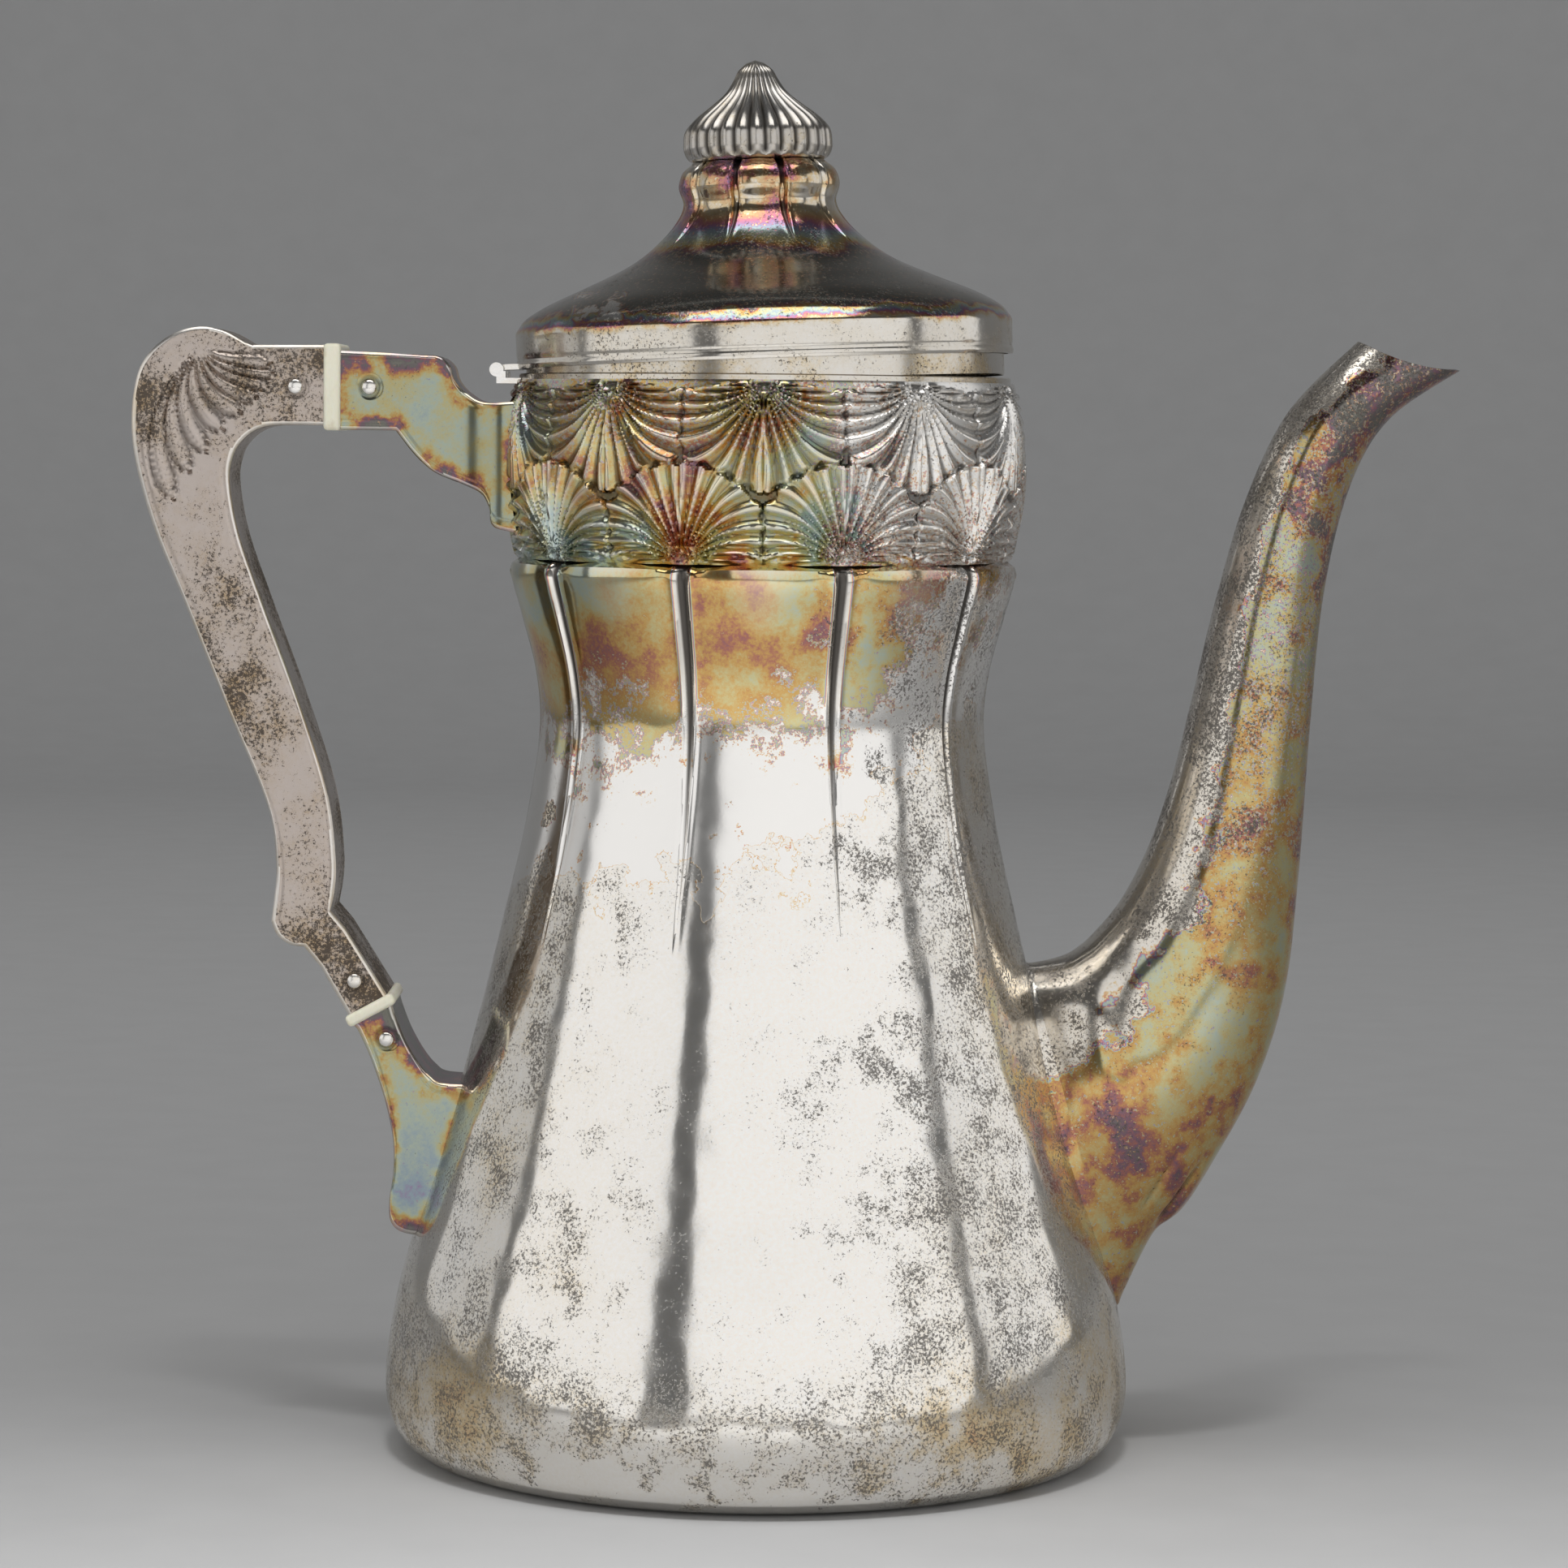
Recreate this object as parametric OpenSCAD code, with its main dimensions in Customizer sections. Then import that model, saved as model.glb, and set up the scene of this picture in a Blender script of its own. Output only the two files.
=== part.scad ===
// Silver coffee pot: a raised and waisted body with a fan frieze at the neck, a soldered spout,
// a hinged lid, and a hollow box handle that two insulators keep cool.
// Millimetres. +Z is up, the spout points to +X, the handle to -X, and the pot stands on Z = 0.

/* [Body] */
// Radius of the ring that the pot stands on
foot_r = 53; // [52:0.1:54]
// Largest radius of the body, low on the belly
belly_r = 61.8; // [61:0.1:63]
// Smallest radius of the body, at the waist
waist_r = 36.7; // [35.5:0.1:38]
// Height of the waist
waist_z = 119; // [116:0.5:122]
// Largest radius of the shoulder, under the frieze
shoulder_r = 41.3; // [40.8:0.1:42]
// Height of the lower edge of the frieze
frieze_z = 148.2; // [147.8:0.1:149]
// Largest radius of the frieze
frieze_r = 42.6; // [42:0.1:43]
// Height of the upper edge of the frieze
frieze_top_z = 177.3; // [176.9:0.1:177.4]
// Height of the top of the mouth rim
rim_z = 178.3; // [178.1:0.1:178.4]
// Outer radius of the mouth rim
rim_r = 40.5; // [40.3:0.1:40.7]
// Thickness of the silver sheet
sheet = 0.8; // [0.6:0.1:0.8]

/* [Strainer] */
// Diameter of one strainer hole
strainer_d = 2; // [1.5:0.1:2.2]
// Distance between neighbouring strainer holes
strainer_pitch = 3.8; // [3.6:0.1:4.2]
// Number of rows of strainer holes
strainer_rows = 8; // [4:1:9]
// Height of the lowest row
strainer_z = 45; // [42:1:48]

/* [Spout] */
// Half width of the spout across its belly
spout_half_w = 13.5; // [12:0.1:15]
// Half width of the spout across its lip
lip_half_w = 5.6; // [5:0.1:6.5]
// How far the sides of the lip dip between its heel and its tip
lip_dip = 1.2; // [0:0.1:2.5]

/* [Lid] */
// Outer radius of the lid at its lower edge
lid_r = 40.9; // [40.7:0.1:41.1]
// Gap between the closed lid and the mouth rim
lid_gap = 0.6; // [0.4:0.1:0.7]
// How far the lid stands open as stored, in degrees
lid_ajar = 2.4; // [0:0.1:20]
// Outer radius of the bezel that drops into the mouth
bezel_r = 39.4; // [39:0.1:39.4]
// How far the bezel reaches below the rim of the mouth
bezel_depth = 3; // [2:0.1:3.2]
// Largest radius of the lobed collar
collar_r = 12.8; // [12.5:0.1:13.3]
// Largest radius of the finial
finial_r = 12.1; // [11.9:0.1:12.6]
// Height of the finial's tip with the lid closed
finial_tip_z = 228.2; // [227:0.1:229]

/* [Hinge] */
// Distance from the pot's axis to the hinge pin
hinge_x = 43.9; // [43.7:0.1:44.1]
// Height of the hinge pin
hinge_z = 178.9; // [178.8:0.1:179]
// Outer radius of the hinge knuckles
knuckle_r = 1.15; // [1.1:0.05:1.2]
// Radius of the hinge pin
hinge_pin_r = 0.7; // [0.6:0.05:0.75]
// Radial clearance of the lid's knuckles on the pin
hinge_play = 0.05; // [0.02:0.01:0.08]
// Length of the whole hinge
hinge_w = 15; // [12:0.5:18]

/* [Handle] */
// Half depth of the handle, from its middle to its face
handle_half_y = 8.2; // [8:0.1:8.6]
// How far the insulators stand proud of the handle's faces
insulator_proud = 0.6; // [0.4:0.1:0.8]
// Radius of the pins' shanks
pin_r = 1; // [0.8:0.05:1.1]
// Radius of the pins' heads
pin_head_r = 1.25; // [1.2:0.05:1.4]

/* [Hidden] */

// Smoothness of what is turned, and of small pins and bores
turned_fn = 96;
small_fn = 32;
// Steps between two points of a curve
steps = 4;

// Sheet colours
silver = "#b9b4aa";
bright_silver = "#cfccc6";
dark_silver = "#8d8579";
golden_silver = "#b59a62";
ivory = "#f2eed3";

// A smooth curve through points, as the Catmull-Rom rule gives it
function between(a, b, c, d, t) =
    0.5 * (2 * b + (c - a) * t + (2 * a - 5 * b + 4 * c - d) * t * t
           + (3 * b - a - 3 * c + d) * t * t * t);
function curve(p, n = steps) = [
    for (i = [0 : len(p) - 2], k = [0 : n - 1])
        between(p[max(i - 1, 0)], p[i], p[i + 1], p[min(i + 2, len(p) - 1)], k / n),
    p[len(p) - 1]
];
function backwards(p) = [for (i = [len(p) - 1 : -1 : 0]) p[i]];

// The path moved to its left by a distance
function left_of(p, distance) = [
    for (i = [0 : len(p) - 1])
        let (along = p[min(i + 1, len(p) - 1)] - p[max(i - 1, 0)], size = norm(along))
        p[i] + distance * [-along[1], along[0]] / size
];

// Outer outline of the body, from the foot to the frieze: [radius, height]
body_line = curve([
    [foot_r, 0], [foot_r + 4.2, 1], [foot_r + 7.2, 4], [belly_r, 10.5], [belly_r - 0.8, 20], [58.4, 32],
    [53, 49], [47.7, 68], [43, 87], [39.2, 103], [waist_r, waist_z], [waist_r + 0.5, 129],
    [39.6, 139], [shoulder_r, 145.5], [shoulder_r - 0.7, frieze_z]
]);
frieze_line = curve([
    [shoulder_r - 0.7, frieze_z], [shoulder_r, 151.2], [frieze_r - 0.1, 159],
    [frieze_r, 167], [frieze_r - 0.7, 173], [rim_r + 0.5, frieze_top_z]
]);
// Radius of the pot's outside at a height
pot_table = [for (p = concat(body_line, frieze_line)) [p[1], p[0]]];
function pot_r(z) = lookup(z, pot_table);

// Foot: the wall turns in as a narrow flange, and the base disc lies on it
foot_flange = 1;
foot_flange_in_r = foot_r - 2.2;
base_thick = 0.9;
base_r = foot_r + 2;

// Closed lid, outside: [radius, height]
lid_z = rim_z + lid_gap;
lid_line = concat(
    [[lid_r, lid_z]],
    curve([
        [lid_r, lid_z + 5.2], [lid_r - 0.5, 185.4], [38.9, 187.1], [35, 189.3], [28.4, 192.1],
        [21.7, 195.2], [17, 198.6], [13.9, 201.7], [collar_r - 0.5, 204.8], [collar_r, 207.8],
        [collar_r - 0.8, 210.2], [collar_r - 1.9, 211.6]
    ])
);
lid_top_z = 211.6;
lid_wall = left_of(lid_line, sheet);
bezel_step_z = lid_z + 2.6;

// Finial, outside, with the lid closed
finial_line = concat(
    [[10.6, lid_top_z]],
    curve([
        [11.5, lid_top_z + 0.5], [finial_r - 0.1, lid_top_z + 1.8], [finial_r, 214.4], [11.8, 216.7],
        [10, 218.8], [7.4, 220.8], [5, 222.9], [3.6, 225], [2.8, 226.5], [1.5, finial_tip_z - 0.5]
    ])
);
stud_r = 2;
stud_len = 6;
nut_r = 4;
nut_h = 2;

// The handle's side outlines: [x, z], each path from the pot side or the top downwards
upper_cut_x = [-72.1, -69.3];
grip_outer = concat(
    [[upper_cut_x[0], 182.6], [-83.8, 182.5]],
    curve([
        [-84.8, 182.9], [-88.4, 184.8], [-92.4, 185.4], [-96.8, 184.2], [-100.6, 181.1],
        [-102.7, 177], [-103.5, 170], [-102.7, 162.5], [-99.7, 152.1], [-94.8, 140.3],
        [-87.3, 121.9], [-81.2, 107.1], [-79.7, 97.6], [-80.1, 91.1]
    ]),
    curve([
        [-80.5, 87.8], [-79.4, 85.5], [-77.3, 84.1], [-75.1, 83.8]
    ]),
    [[-72.3, 80.4]]
);
grip_inner = concat(
    curve([
        [upper_cut_x[0], 169.5], [-79.3, 169.5], [-82.7, 168.9], [-85.3, 167.1], [-86.9, 164.4],
        [-87.4, 160], [-85.9, 151.6], [-82.1, 140.7], [-76.2, 124.7], [-71.4, 109.6], [-69.9, 98],
        [-70.2, 92.4]
    ]),
    [[-70.7, 89.8], [-68.3, 87]]
);

// Lower insulator: where it sits, and how far it leans
lower_cut = [-64.1, 73.4];
lower_lean = 28.7;
lower_half_thick = 1;
lower_half_w = 3.6;
function on_lower_cut(u, w) = lower_cut + u * [cos(lower_lean), sin(lower_lean)]
    + w * [-sin(lower_lean), cos(lower_lean)];

grip_outer_path = concat(grip_outer, [on_lower_cut(-lower_half_w, lower_half_thick)]);
grip_inner_path = concat(grip_inner, [on_lower_cut(lower_half_w, lower_half_thick)]);

// The sockets' paths end a little inside the pot, and its surface trims them
into_pot = 4;
upper_socket_top = concat(
    [[upper_cut_x[1], 181.7], [-53.8, 181.1]],
    curve([
        [-52.6, 180.6], [-51.4, 179.3], [-50.6, 177], [-48.6, 174.9], [-45.2, 173.5],
        [-rim_r + into_pot, 174]
    ])
);
upper_socket_bottom = concat(
    [[upper_cut_x[1], 168.8]],
    curve([
        [-60.3, 168.8], [-57.2, 164.9], [-53.9, 162], [-49.3, 160.1], [-46.3, 158.6], [-44.9, 156.2],
        [-43.9, 153.1], [-rim_r + into_pot, 151.8]
    ])
);
lower_socket_outer = concat(
    [on_lower_cut(-lower_half_w, -lower_half_thick)],
    curve([
        [-66.2, 70.1], [-64, 65.2], [-61.7, 58.5], [-60.3, 51.7], [-60.3, 46.2], [-60.9, 41.7],
        [-60.6, 38.1], [-58.3, 36.3], [-56.8 + into_pot, 35.8]
    ])
);
lower_socket_inner = concat(
    [on_lower_cut(lower_half_w, -lower_half_thick)],
    curve([
        [-60.1, 72.9], [-58.6, 69], [-56.5, 65.2], [-54.4, 62.6], [-52, 61.3],
        [-48.6 + into_pot, 61.1]
    ])
);

// Places of the four handle pins, seen from the side
upper_pin_places = [[-76.7, 175.8], [-64.6, 175.8]];
lower_pin_places = [on_lower_cut(0, 5.5), on_lower_cut(0, -5.5)];
plate_in_y = handle_half_y - sheet;
pin_play = 0.02;
upper_mid = [(upper_cut_x[0] + upper_cut_x[1]) / 2, 175.8];
upper_half_thick = (upper_cut_x[1] - upper_cut_x[0]) / 2;

// ---- helpers ----

module turned(points) rotate_extrude($fn = turned_fn) polygon(points);

// The slot that an insulator's flange fills, between two silver ends
module flange_slot(place, lean, half_thick)
    translate([place[0], 0, place[1]]) rotate([0, -lean, 0])
        cube([30, 4 * handle_half_y, 2 * half_thick], center = true);
module flange_slots() {
    flange_slot(upper_mid, 90, upper_half_thick);
    flange_slot(lower_cut, lower_lean, lower_half_thick);
}

// A side outline in x and z, thickened from y0 to y1
module side_plate(outline, y0, y1)
    translate([0, y1, 0]) rotate([90, 0, 0]) linear_extrude(y1 - y0) polygon(outline);

// Everything that rides on the lid is drawn closed, then opened by lid_ajar
module as_stored()
    translate([-hinge_x, 0, hinge_z]) rotate([0, -lid_ajar, 0]) translate([hinge_x, 0, -hinge_z])
        children();

// The solid that the outside of the pot encloses; it trims what is soldered on
module pot_solid()
    turned(concat([[0, 0]], body_line, frieze_line, [[0, frieze_top_z]]));

module along_y(place, radius, length)
    translate([place[0], length / 2, place[1]]) rotate([90, 0, 0])
        cylinder(r = radius, h = length, $fn = small_fn);

// ---- pot ----

module strainer_holes()
    for (row = [0 : strainer_rows - 1], col = [-2 : 2]) {
        shift = row % 2 == 0 ? 0 : 0.5;
        y = (col + shift) * strainer_pitch;
        z = strainer_z + row * strainer_pitch;
        if (abs(y) < 8)
            translate([waist_r, y, z]) rotate([0, 90, 0])
                cylinder(d = strainer_d, h = belly_r - waist_r, $fn = small_fn);
    }

module body_shell() {
    inside = [for (p = left_of(body_line, sheet)) if (p[1] > foot_flange + 0.5) p];
    first = inside[0];
    last = inside[len(inside) - 1];
    color(bright_silver) difference() {
        turned(concat([[0, 0]], body_line, [[0, frieze_z]]));
        turned(concat(
            [[0, foot_flange], [first[0] - 0.4, foot_flange]],
            inside, [[last[0], frieze_z + 1], [0, frieze_z + 1]]
        ));
        translate([0, 0, -1]) cylinder(r = foot_flange_in_r, h = foot_flange + 2, $fn = turned_fn);
        strainer_holes();
    }
}

module base_disc()
    color(bright_silver) translate([0, 0, foot_flange])
        cylinder(r = base_r, h = base_thick, $fn = turned_fn);

module neck_frieze()
    color(golden_silver) turned(concat(
        frieze_line,
        [[rim_r + 0.5 - sheet, frieze_top_z]],
        backwards([for (p = left_of(frieze_line, sheet))
            if (p[1] > frieze_z + 0.5 && p[1] < frieze_top_z - 0.5) p]),
        [[shoulder_r - 0.7 - sheet, frieze_z]]
    ));

mouth_in_r = rim_r - 0.6;
module mouth_rim()
    color(silver) turned([
        [mouth_in_r, frieze_top_z], [rim_r, frieze_top_z], [rim_r, rim_z - 0.2],
        [rim_r - 0.2, rim_z], [mouth_in_r, rim_z]
    ]);

// ---- spout ----

// Heel and throat: the spout's upper edge and its lower edge, [x, z], station by station
spout_upper = curve([
    [44.5, 81.2], [50.2, 82.6], [53, 84.2], [55.6, 86.6], [60.1, 92.3], [64.6, 101.5],
    [68.1, 112.4], [71.4, 126.4], [75, 142.4], [79.7, 158.9], [86.6, 173.5], [97.7, 184.9]
], 3);
spout_lower = curve([
    [60.4, 24.3], [66.1, 36.3], [70.8, 40.4], [75.2, 47.2], [82.7, 61.4], [87.4, 77],
    [89.4, 96.5], [90.9, 121.5], [92.8, 143.5], [96.7, 160.8], [103, 172.1], [114.6, 180.3]
], 3);
spout_half_widths = curve([
    for (share = [0.86, 0.98, 1, 1, 0.93, 0.85, 0.78, 0.7, 0.64, 0.6, 0.53]) [share * spout_half_w, 0],
    [lip_half_w, 0]
], 3);
spout_sides = 28;
into_wall = 0.3;

// One ring of the spout; the first lies on the pot's surface, the last dips as the lip
function spout_point(i, angle, inset) =
    let (
        upper = spout_upper[i], lower = spout_lower[i],
        half = norm(upper - lower) / 2 - inset,
        wide = spout_half_widths[i][0] - inset,
        lean = (upper - lower) / norm(upper - lower),
        flat = (upper + lower) / 2 + lean * half * cos(angle),
        y = wide * sin(angle),
        dip = i == len(spout_upper) - 1 ? lip_dip * pow(sin(angle), 2) : 0
    )
    i == 0 ? [sqrt(pow(pot_r(flat[1]), 2) - y * y) - into_wall, y, flat[1]]
           : [flat[0] - dip * lean[1], y, flat[1] - dip * abs(lean[0])];

module spout() {
    rings = len(spout_upper);
    n = spout_sides;
    points = [
        for (inset = [0, sheet], i = [0 : rings - 1], k = [0 : n - 1])
            spout_point(i, 360 * k / n, inset)
    ];
    inner = rings * n;
    wall = [
        for (i = [0 : rings - 2], k = [0 : n - 1])
            let (a = i * n + k, b = i * n + (k + 1) % n, c = b + n, d = a + n)
            each [[a, b, c], [a, c, d], [inner + c, inner + b, inner + a],
                  [inner + d, inner + c, inner + a]]
    ];
    ends = [
        for (k = [0 : n - 1])
            let (a = k, b = (k + 1) % n, e = (rings - 1) * n)
            each [[b, a, inner + a], [b, inner + a, inner + b],
                  [e + a, e + b, e + inner + b], [e + a, e + inner + b, e + inner + a]]
    ];
    color(golden_silver) polyhedron(points, concat(wall, ends), convexity = 6);
}

// ---- handle ----

module handle_plate(outer, inner, pins, front, trimmed) {
    y0 = front ? -handle_half_y : plate_in_y;
    difference() {
        side_plate(concat(outer, backwards(inner)), y0, y0 + sheet);
        for (place = pins) along_y(place, pin_r + pin_play, 3 * handle_half_y);
        if (trimmed) pot_solid();
    }
}

// An edge strip between the two plates; the sheet lies to the left of its path
module handle_strip(path, trimmed)
    difference() {
        side_plate(concat(path, backwards(left_of(path, sheet))), -plate_in_y, plate_in_y);
        flange_slots();
        if (trimmed) pot_solid();
    }

module grip_plate(front)
    color(silver) handle_plate(
        grip_outer_path, grip_inner_path, [upper_pin_places[0], lower_pin_places[0]], front, false
    );
module grip_front_plate() grip_plate(true);
module grip_back_plate() grip_plate(false);
module grip_outer_strip() color(silver) handle_strip(grip_outer_path, false);
module grip_inner_strip() color(silver) handle_strip(backwards(grip_inner_path), false);

module upper_socket_plate(front)
    color(golden_silver) handle_plate(
        upper_socket_top, upper_socket_bottom, [upper_pin_places[1]], front, true
    );
module upper_socket_front_plate() upper_socket_plate(true);
module upper_socket_back_plate() upper_socket_plate(false);
module upper_socket_top_strip()
    color(golden_silver) handle_strip(backwards(upper_socket_top), true);
module upper_socket_bottom_strip() color(golden_silver) handle_strip(upper_socket_bottom, true);

module lower_socket_plate(front)
    color(golden_silver) handle_plate(
        lower_socket_outer, lower_socket_inner, [lower_pin_places[1]], front, true
    );
module lower_socket_front_plate() lower_socket_plate(true);
module lower_socket_back_plate() lower_socket_plate(false);
module lower_socket_outer_strip() color(golden_silver) handle_strip(lower_socket_outer, true);
module lower_socket_inner_strip()
    color(golden_silver) handle_strip(backwards(lower_socket_inner), true);

// An insulator: a flange with rounded edges between the silver ends, and a tenon into each.
// It is drawn about its own middle: u across the handle, w along it.
module insulator(half_w, half_thick, tenon_u, tenon_len, pin_at) {
    edge = min(half_thick, 1) * 0.9;
    half_y = handle_half_y + insulator_proud;
    tenon_half_y = plate_in_y - 0.1;
    difference() {
        union() {
            rotate([90, 0, 0]) linear_extrude(2 * half_y, center = true)
                offset(r = edge) square(2 * [half_w - edge, half_thick - edge], center = true);
            translate([tenon_u[0], -tenon_half_y, -half_thick - tenon_len])
                cube([tenon_u[1] - tenon_u[0], 2 * tenon_half_y, 2 * (half_thick + tenon_len)]);
        }
        for (w = pin_at) along_y([0, w], pin_r + pin_play, 3 * half_y);
    }
}

module upper_insulator()
    color(ivory) translate([upper_mid[0], 0, upper_mid[1]]) rotate([0, -90, 0])
        insulator(7.1, upper_half_thick, [-5, 4.6], 8, [
            upper_mid[0] - upper_pin_places[0][0], upper_mid[0] - upper_pin_places[1][0]
        ]);
module lower_insulator()
    color(ivory) translate([lower_cut[0], 0, lower_cut[1]]) rotate([0, -lower_lean, 0])
        insulator(4.4, lower_half_thick, [-2.3, 1.6], 7.5, [5.5, -5.5]);

// A pin with a domed head at each end, riveted across the handle
module handle_pin(place) {
    head_h = 0.55;
    dome = [for (a = [0 : 15 : 90]) [pin_head_r * cos(a), handle_half_y + 0.15 + head_h * sin(a)]];
    half = concat([[pin_r, handle_half_y], [pin_head_r, handle_half_y]], dome);
    translate([place[0], 0, place[1]]) rotate([90, 0, 0]) rotate_extrude($fn = small_fn)
        polygon(concat(half, [for (p = backwards(half)) [p[0], -p[1]]]));
}
module upper_handle_pins() color(silver) for (place = upper_pin_places) handle_pin(place);
module lower_handle_pins() color(silver) for (place = lower_pin_places) handle_pin(place);

// ---- hinge ----

knuckles = 5;
knuckle_gap = 0.15;
knuckle_len = (hinge_w - (knuckles - 1) * knuckle_gap) / knuckles;
leaf_thick = 0.9;

// The knuckles with even or with odd numbers, each with a web to its leaf
module hinge_knuckles(first, bore_r, web_lift)
    for (i = [first : 2 : knuckles - 1]) {
        y = -hinge_w / 2 + i * (knuckle_len + knuckle_gap);
        translate([-hinge_x, y + knuckle_len, hinge_z]) rotate([90, 0, 0]) difference() {
            union() {
                cylinder(r = knuckle_r, h = knuckle_len, $fn = small_fn);
                translate([0, web_lift, 0]) cube([1.5, leaf_thick, knuckle_len]);
            }
            translate([0, 0, -1]) cylinder(r = bore_r, h = knuckle_len + 2, $fn = small_fn);
        }
    }

body_leaf_lift = -knuckle_r - 0.2 - leaf_thick;
module hinge_body_leaf()
    color(silver) difference() {
        union() {
            hinge_knuckles(0, hinge_pin_r, -knuckle_r);
            for (i = [0 : 2 : knuckles - 1])
                translate([-hinge_x, -hinge_w / 2 + i * (knuckle_len + knuckle_gap),
                           hinge_z + body_leaf_lift])
                    cube([1.5, knuckle_len, leaf_thick + 0.6]);
            translate([-hinge_x, -hinge_w / 2, hinge_z + body_leaf_lift])
                cube([4, hinge_w, leaf_thick]);
        }
        translate([-hinge_x, 0, hinge_z]) rotate([90, 0, 0])
            cylinder(r = hinge_pin_r, h = hinge_w + 2, center = true, $fn = small_fn);
        pot_solid();
        translate([0, 0, frieze_top_z]) cylinder(r = rim_r, h = 4, $fn = turned_fn);
    }

lid_leaf_lift = -0.1;
module hinge_lid_leaf()
    color(silver) as_stored() difference() {
        union() {
            hinge_knuckles(1, hinge_pin_r + hinge_play, lid_leaf_lift);
            translate([-hinge_x + knuckle_r + 0.25, -hinge_w / 2, hinge_z + lid_leaf_lift])
                cube([3, hinge_w, leaf_thick]);
        }
        translate([0, 0, lid_z - 2]) cylinder(r = lid_r, h = 8, $fn = turned_fn);
    }

module hinge_pin()
    color(dark_silver) translate([-hinge_x, 0, hinge_z]) rotate([90, 0, 0])
        cylinder(r = hinge_pin_r, h = hinge_w + 0.4, center = true, $fn = small_fn);

// ---- lid ----

module lid_shell()
    color(dark_silver) as_stored() difference() {
        turned(concat([[0, lid_z]], lid_line, [[0, lid_top_z]]));
        turned(concat(
            [[0, lid_z - 1], [lid_r - sheet, lid_z - 1]],
            [for (p = lid_wall) if (p[1] > lid_z + 1 && p[1] < lid_top_z - sheet) p],
            [[collar_r - 2.8, lid_top_z - sheet], [0, lid_top_z - sheet]]
        ));
        translate([0, 0, lid_top_z - 2]) cylinder(r = stud_r, h = 4, $fn = small_fn);
    }

module lid_bezel() {
    low = rim_z - bezel_depth;
    color(bright_silver) as_stored() turned([
        [bezel_r - sheet, low], [bezel_r - 0.2, low], [bezel_r, low + 0.3],
        [bezel_r, bezel_step_z], [lid_r - sheet, bezel_step_z + 0.8],
        [lid_r - sheet, bezel_step_z + 1.8], [bezel_r - sheet, bezel_step_z + 0.4]
    ]);
}

module finial()
    color(silver) as_stored() turned(concat(
        [[0, lid_top_z - stud_len], [stud_r, lid_top_z - stud_len], [stud_r, lid_top_z]],
        finial_line, [[0, finial_tip_z]]
    ));

module finial_nut()
    color(dark_silver) as_stored() translate([0, 0, lid_top_z - sheet - nut_h]) difference() {
        cylinder(r = nut_r, h = nut_h, $fn = 6);
        translate([0, 0, -1]) cylinder(r = stud_r, h = nut_h + 2, $fn = small_fn);
    }

body_shell();
base_disc();
neck_frieze();
mouth_rim();
spout();
upper_socket_front_plate();
upper_socket_back_plate();
upper_socket_top_strip();
upper_socket_bottom_strip();
lower_socket_front_plate();
lower_socket_back_plate();
lower_socket_outer_strip();
lower_socket_inner_strip();
grip_front_plate();
grip_back_plate();
grip_outer_strip();
grip_inner_strip();
upper_insulator();
lower_insulator();
upper_handle_pins();
lower_handle_pins();
hinge_body_leaf();
hinge_lid_leaf();
hinge_pin();
lid_shell();
lid_bezel();
finial();
finial_nut();
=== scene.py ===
# %% [markdown]
# # A silver coffee pot, made in cells
# The pot is raised from silver sheet: a waisted body with ten chased flutes, a frieze of fans
# round its neck, a soldered spout, a hinged lid with a fluted finial, and a hollow handle that
# two pale insulators keep cool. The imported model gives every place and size. Each cell below
# makes one piece or one finish, and lets it ride on the right body.

# %% Load the frame
import math

import bmesh
import bpy
import numpy as np
from mathutils import Matrix


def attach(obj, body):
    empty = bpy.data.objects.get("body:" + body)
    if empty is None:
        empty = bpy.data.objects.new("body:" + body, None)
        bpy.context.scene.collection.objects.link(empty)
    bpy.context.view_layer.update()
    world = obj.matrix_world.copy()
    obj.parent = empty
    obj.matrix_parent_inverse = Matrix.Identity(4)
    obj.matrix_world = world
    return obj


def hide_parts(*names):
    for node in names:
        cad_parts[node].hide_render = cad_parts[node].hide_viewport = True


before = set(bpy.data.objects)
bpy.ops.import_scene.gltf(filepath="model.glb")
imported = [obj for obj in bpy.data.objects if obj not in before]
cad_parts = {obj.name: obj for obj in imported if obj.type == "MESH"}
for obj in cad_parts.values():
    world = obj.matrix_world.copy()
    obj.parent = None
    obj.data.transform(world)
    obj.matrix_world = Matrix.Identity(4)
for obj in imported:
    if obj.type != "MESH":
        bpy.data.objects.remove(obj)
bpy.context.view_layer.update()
MM = 0.001


# %% [markdown]
# ## Smooth outlines
# A silversmith's outline is a few points and a smooth line through them. The Catmull-Rom rule
# passes through every point, so the same few points make the same curve as in the CAD part.
# Resampling by length then puts rows where the surface needs them.

# %% Curves through points
def curve(points, steps=12):
    """A smooth line through points, steps pieces between two of them."""
    p = np.array(points, float)
    p = np.vstack([p[:1], p, p[-1:]])
    line = []
    for a, b, c, d in zip(p, p[1:], p[2:], p[3:]):
        for t in np.arange(steps) / steps:
            line.append(0.5 * (2 * b + (c - a) * t + (2 * a - 5 * b + 4 * c - d) * t**2
                               + (3 * b - a - 3 * c + d) * t**3))
    return np.array([*line, p[-1]])


def spaced(line, count, power=1.0):
    """The line again with count points, spaced by length."""
    line = np.array(line, float)
    far = np.r_[0, np.cumsum(np.linalg.norm(np.diff(line, axis=0), axis=1))]
    want = np.linspace(0, 1, count) ** power * far[-1]
    return np.column_stack([np.interp(want, far, column) for column in line.T])


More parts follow.
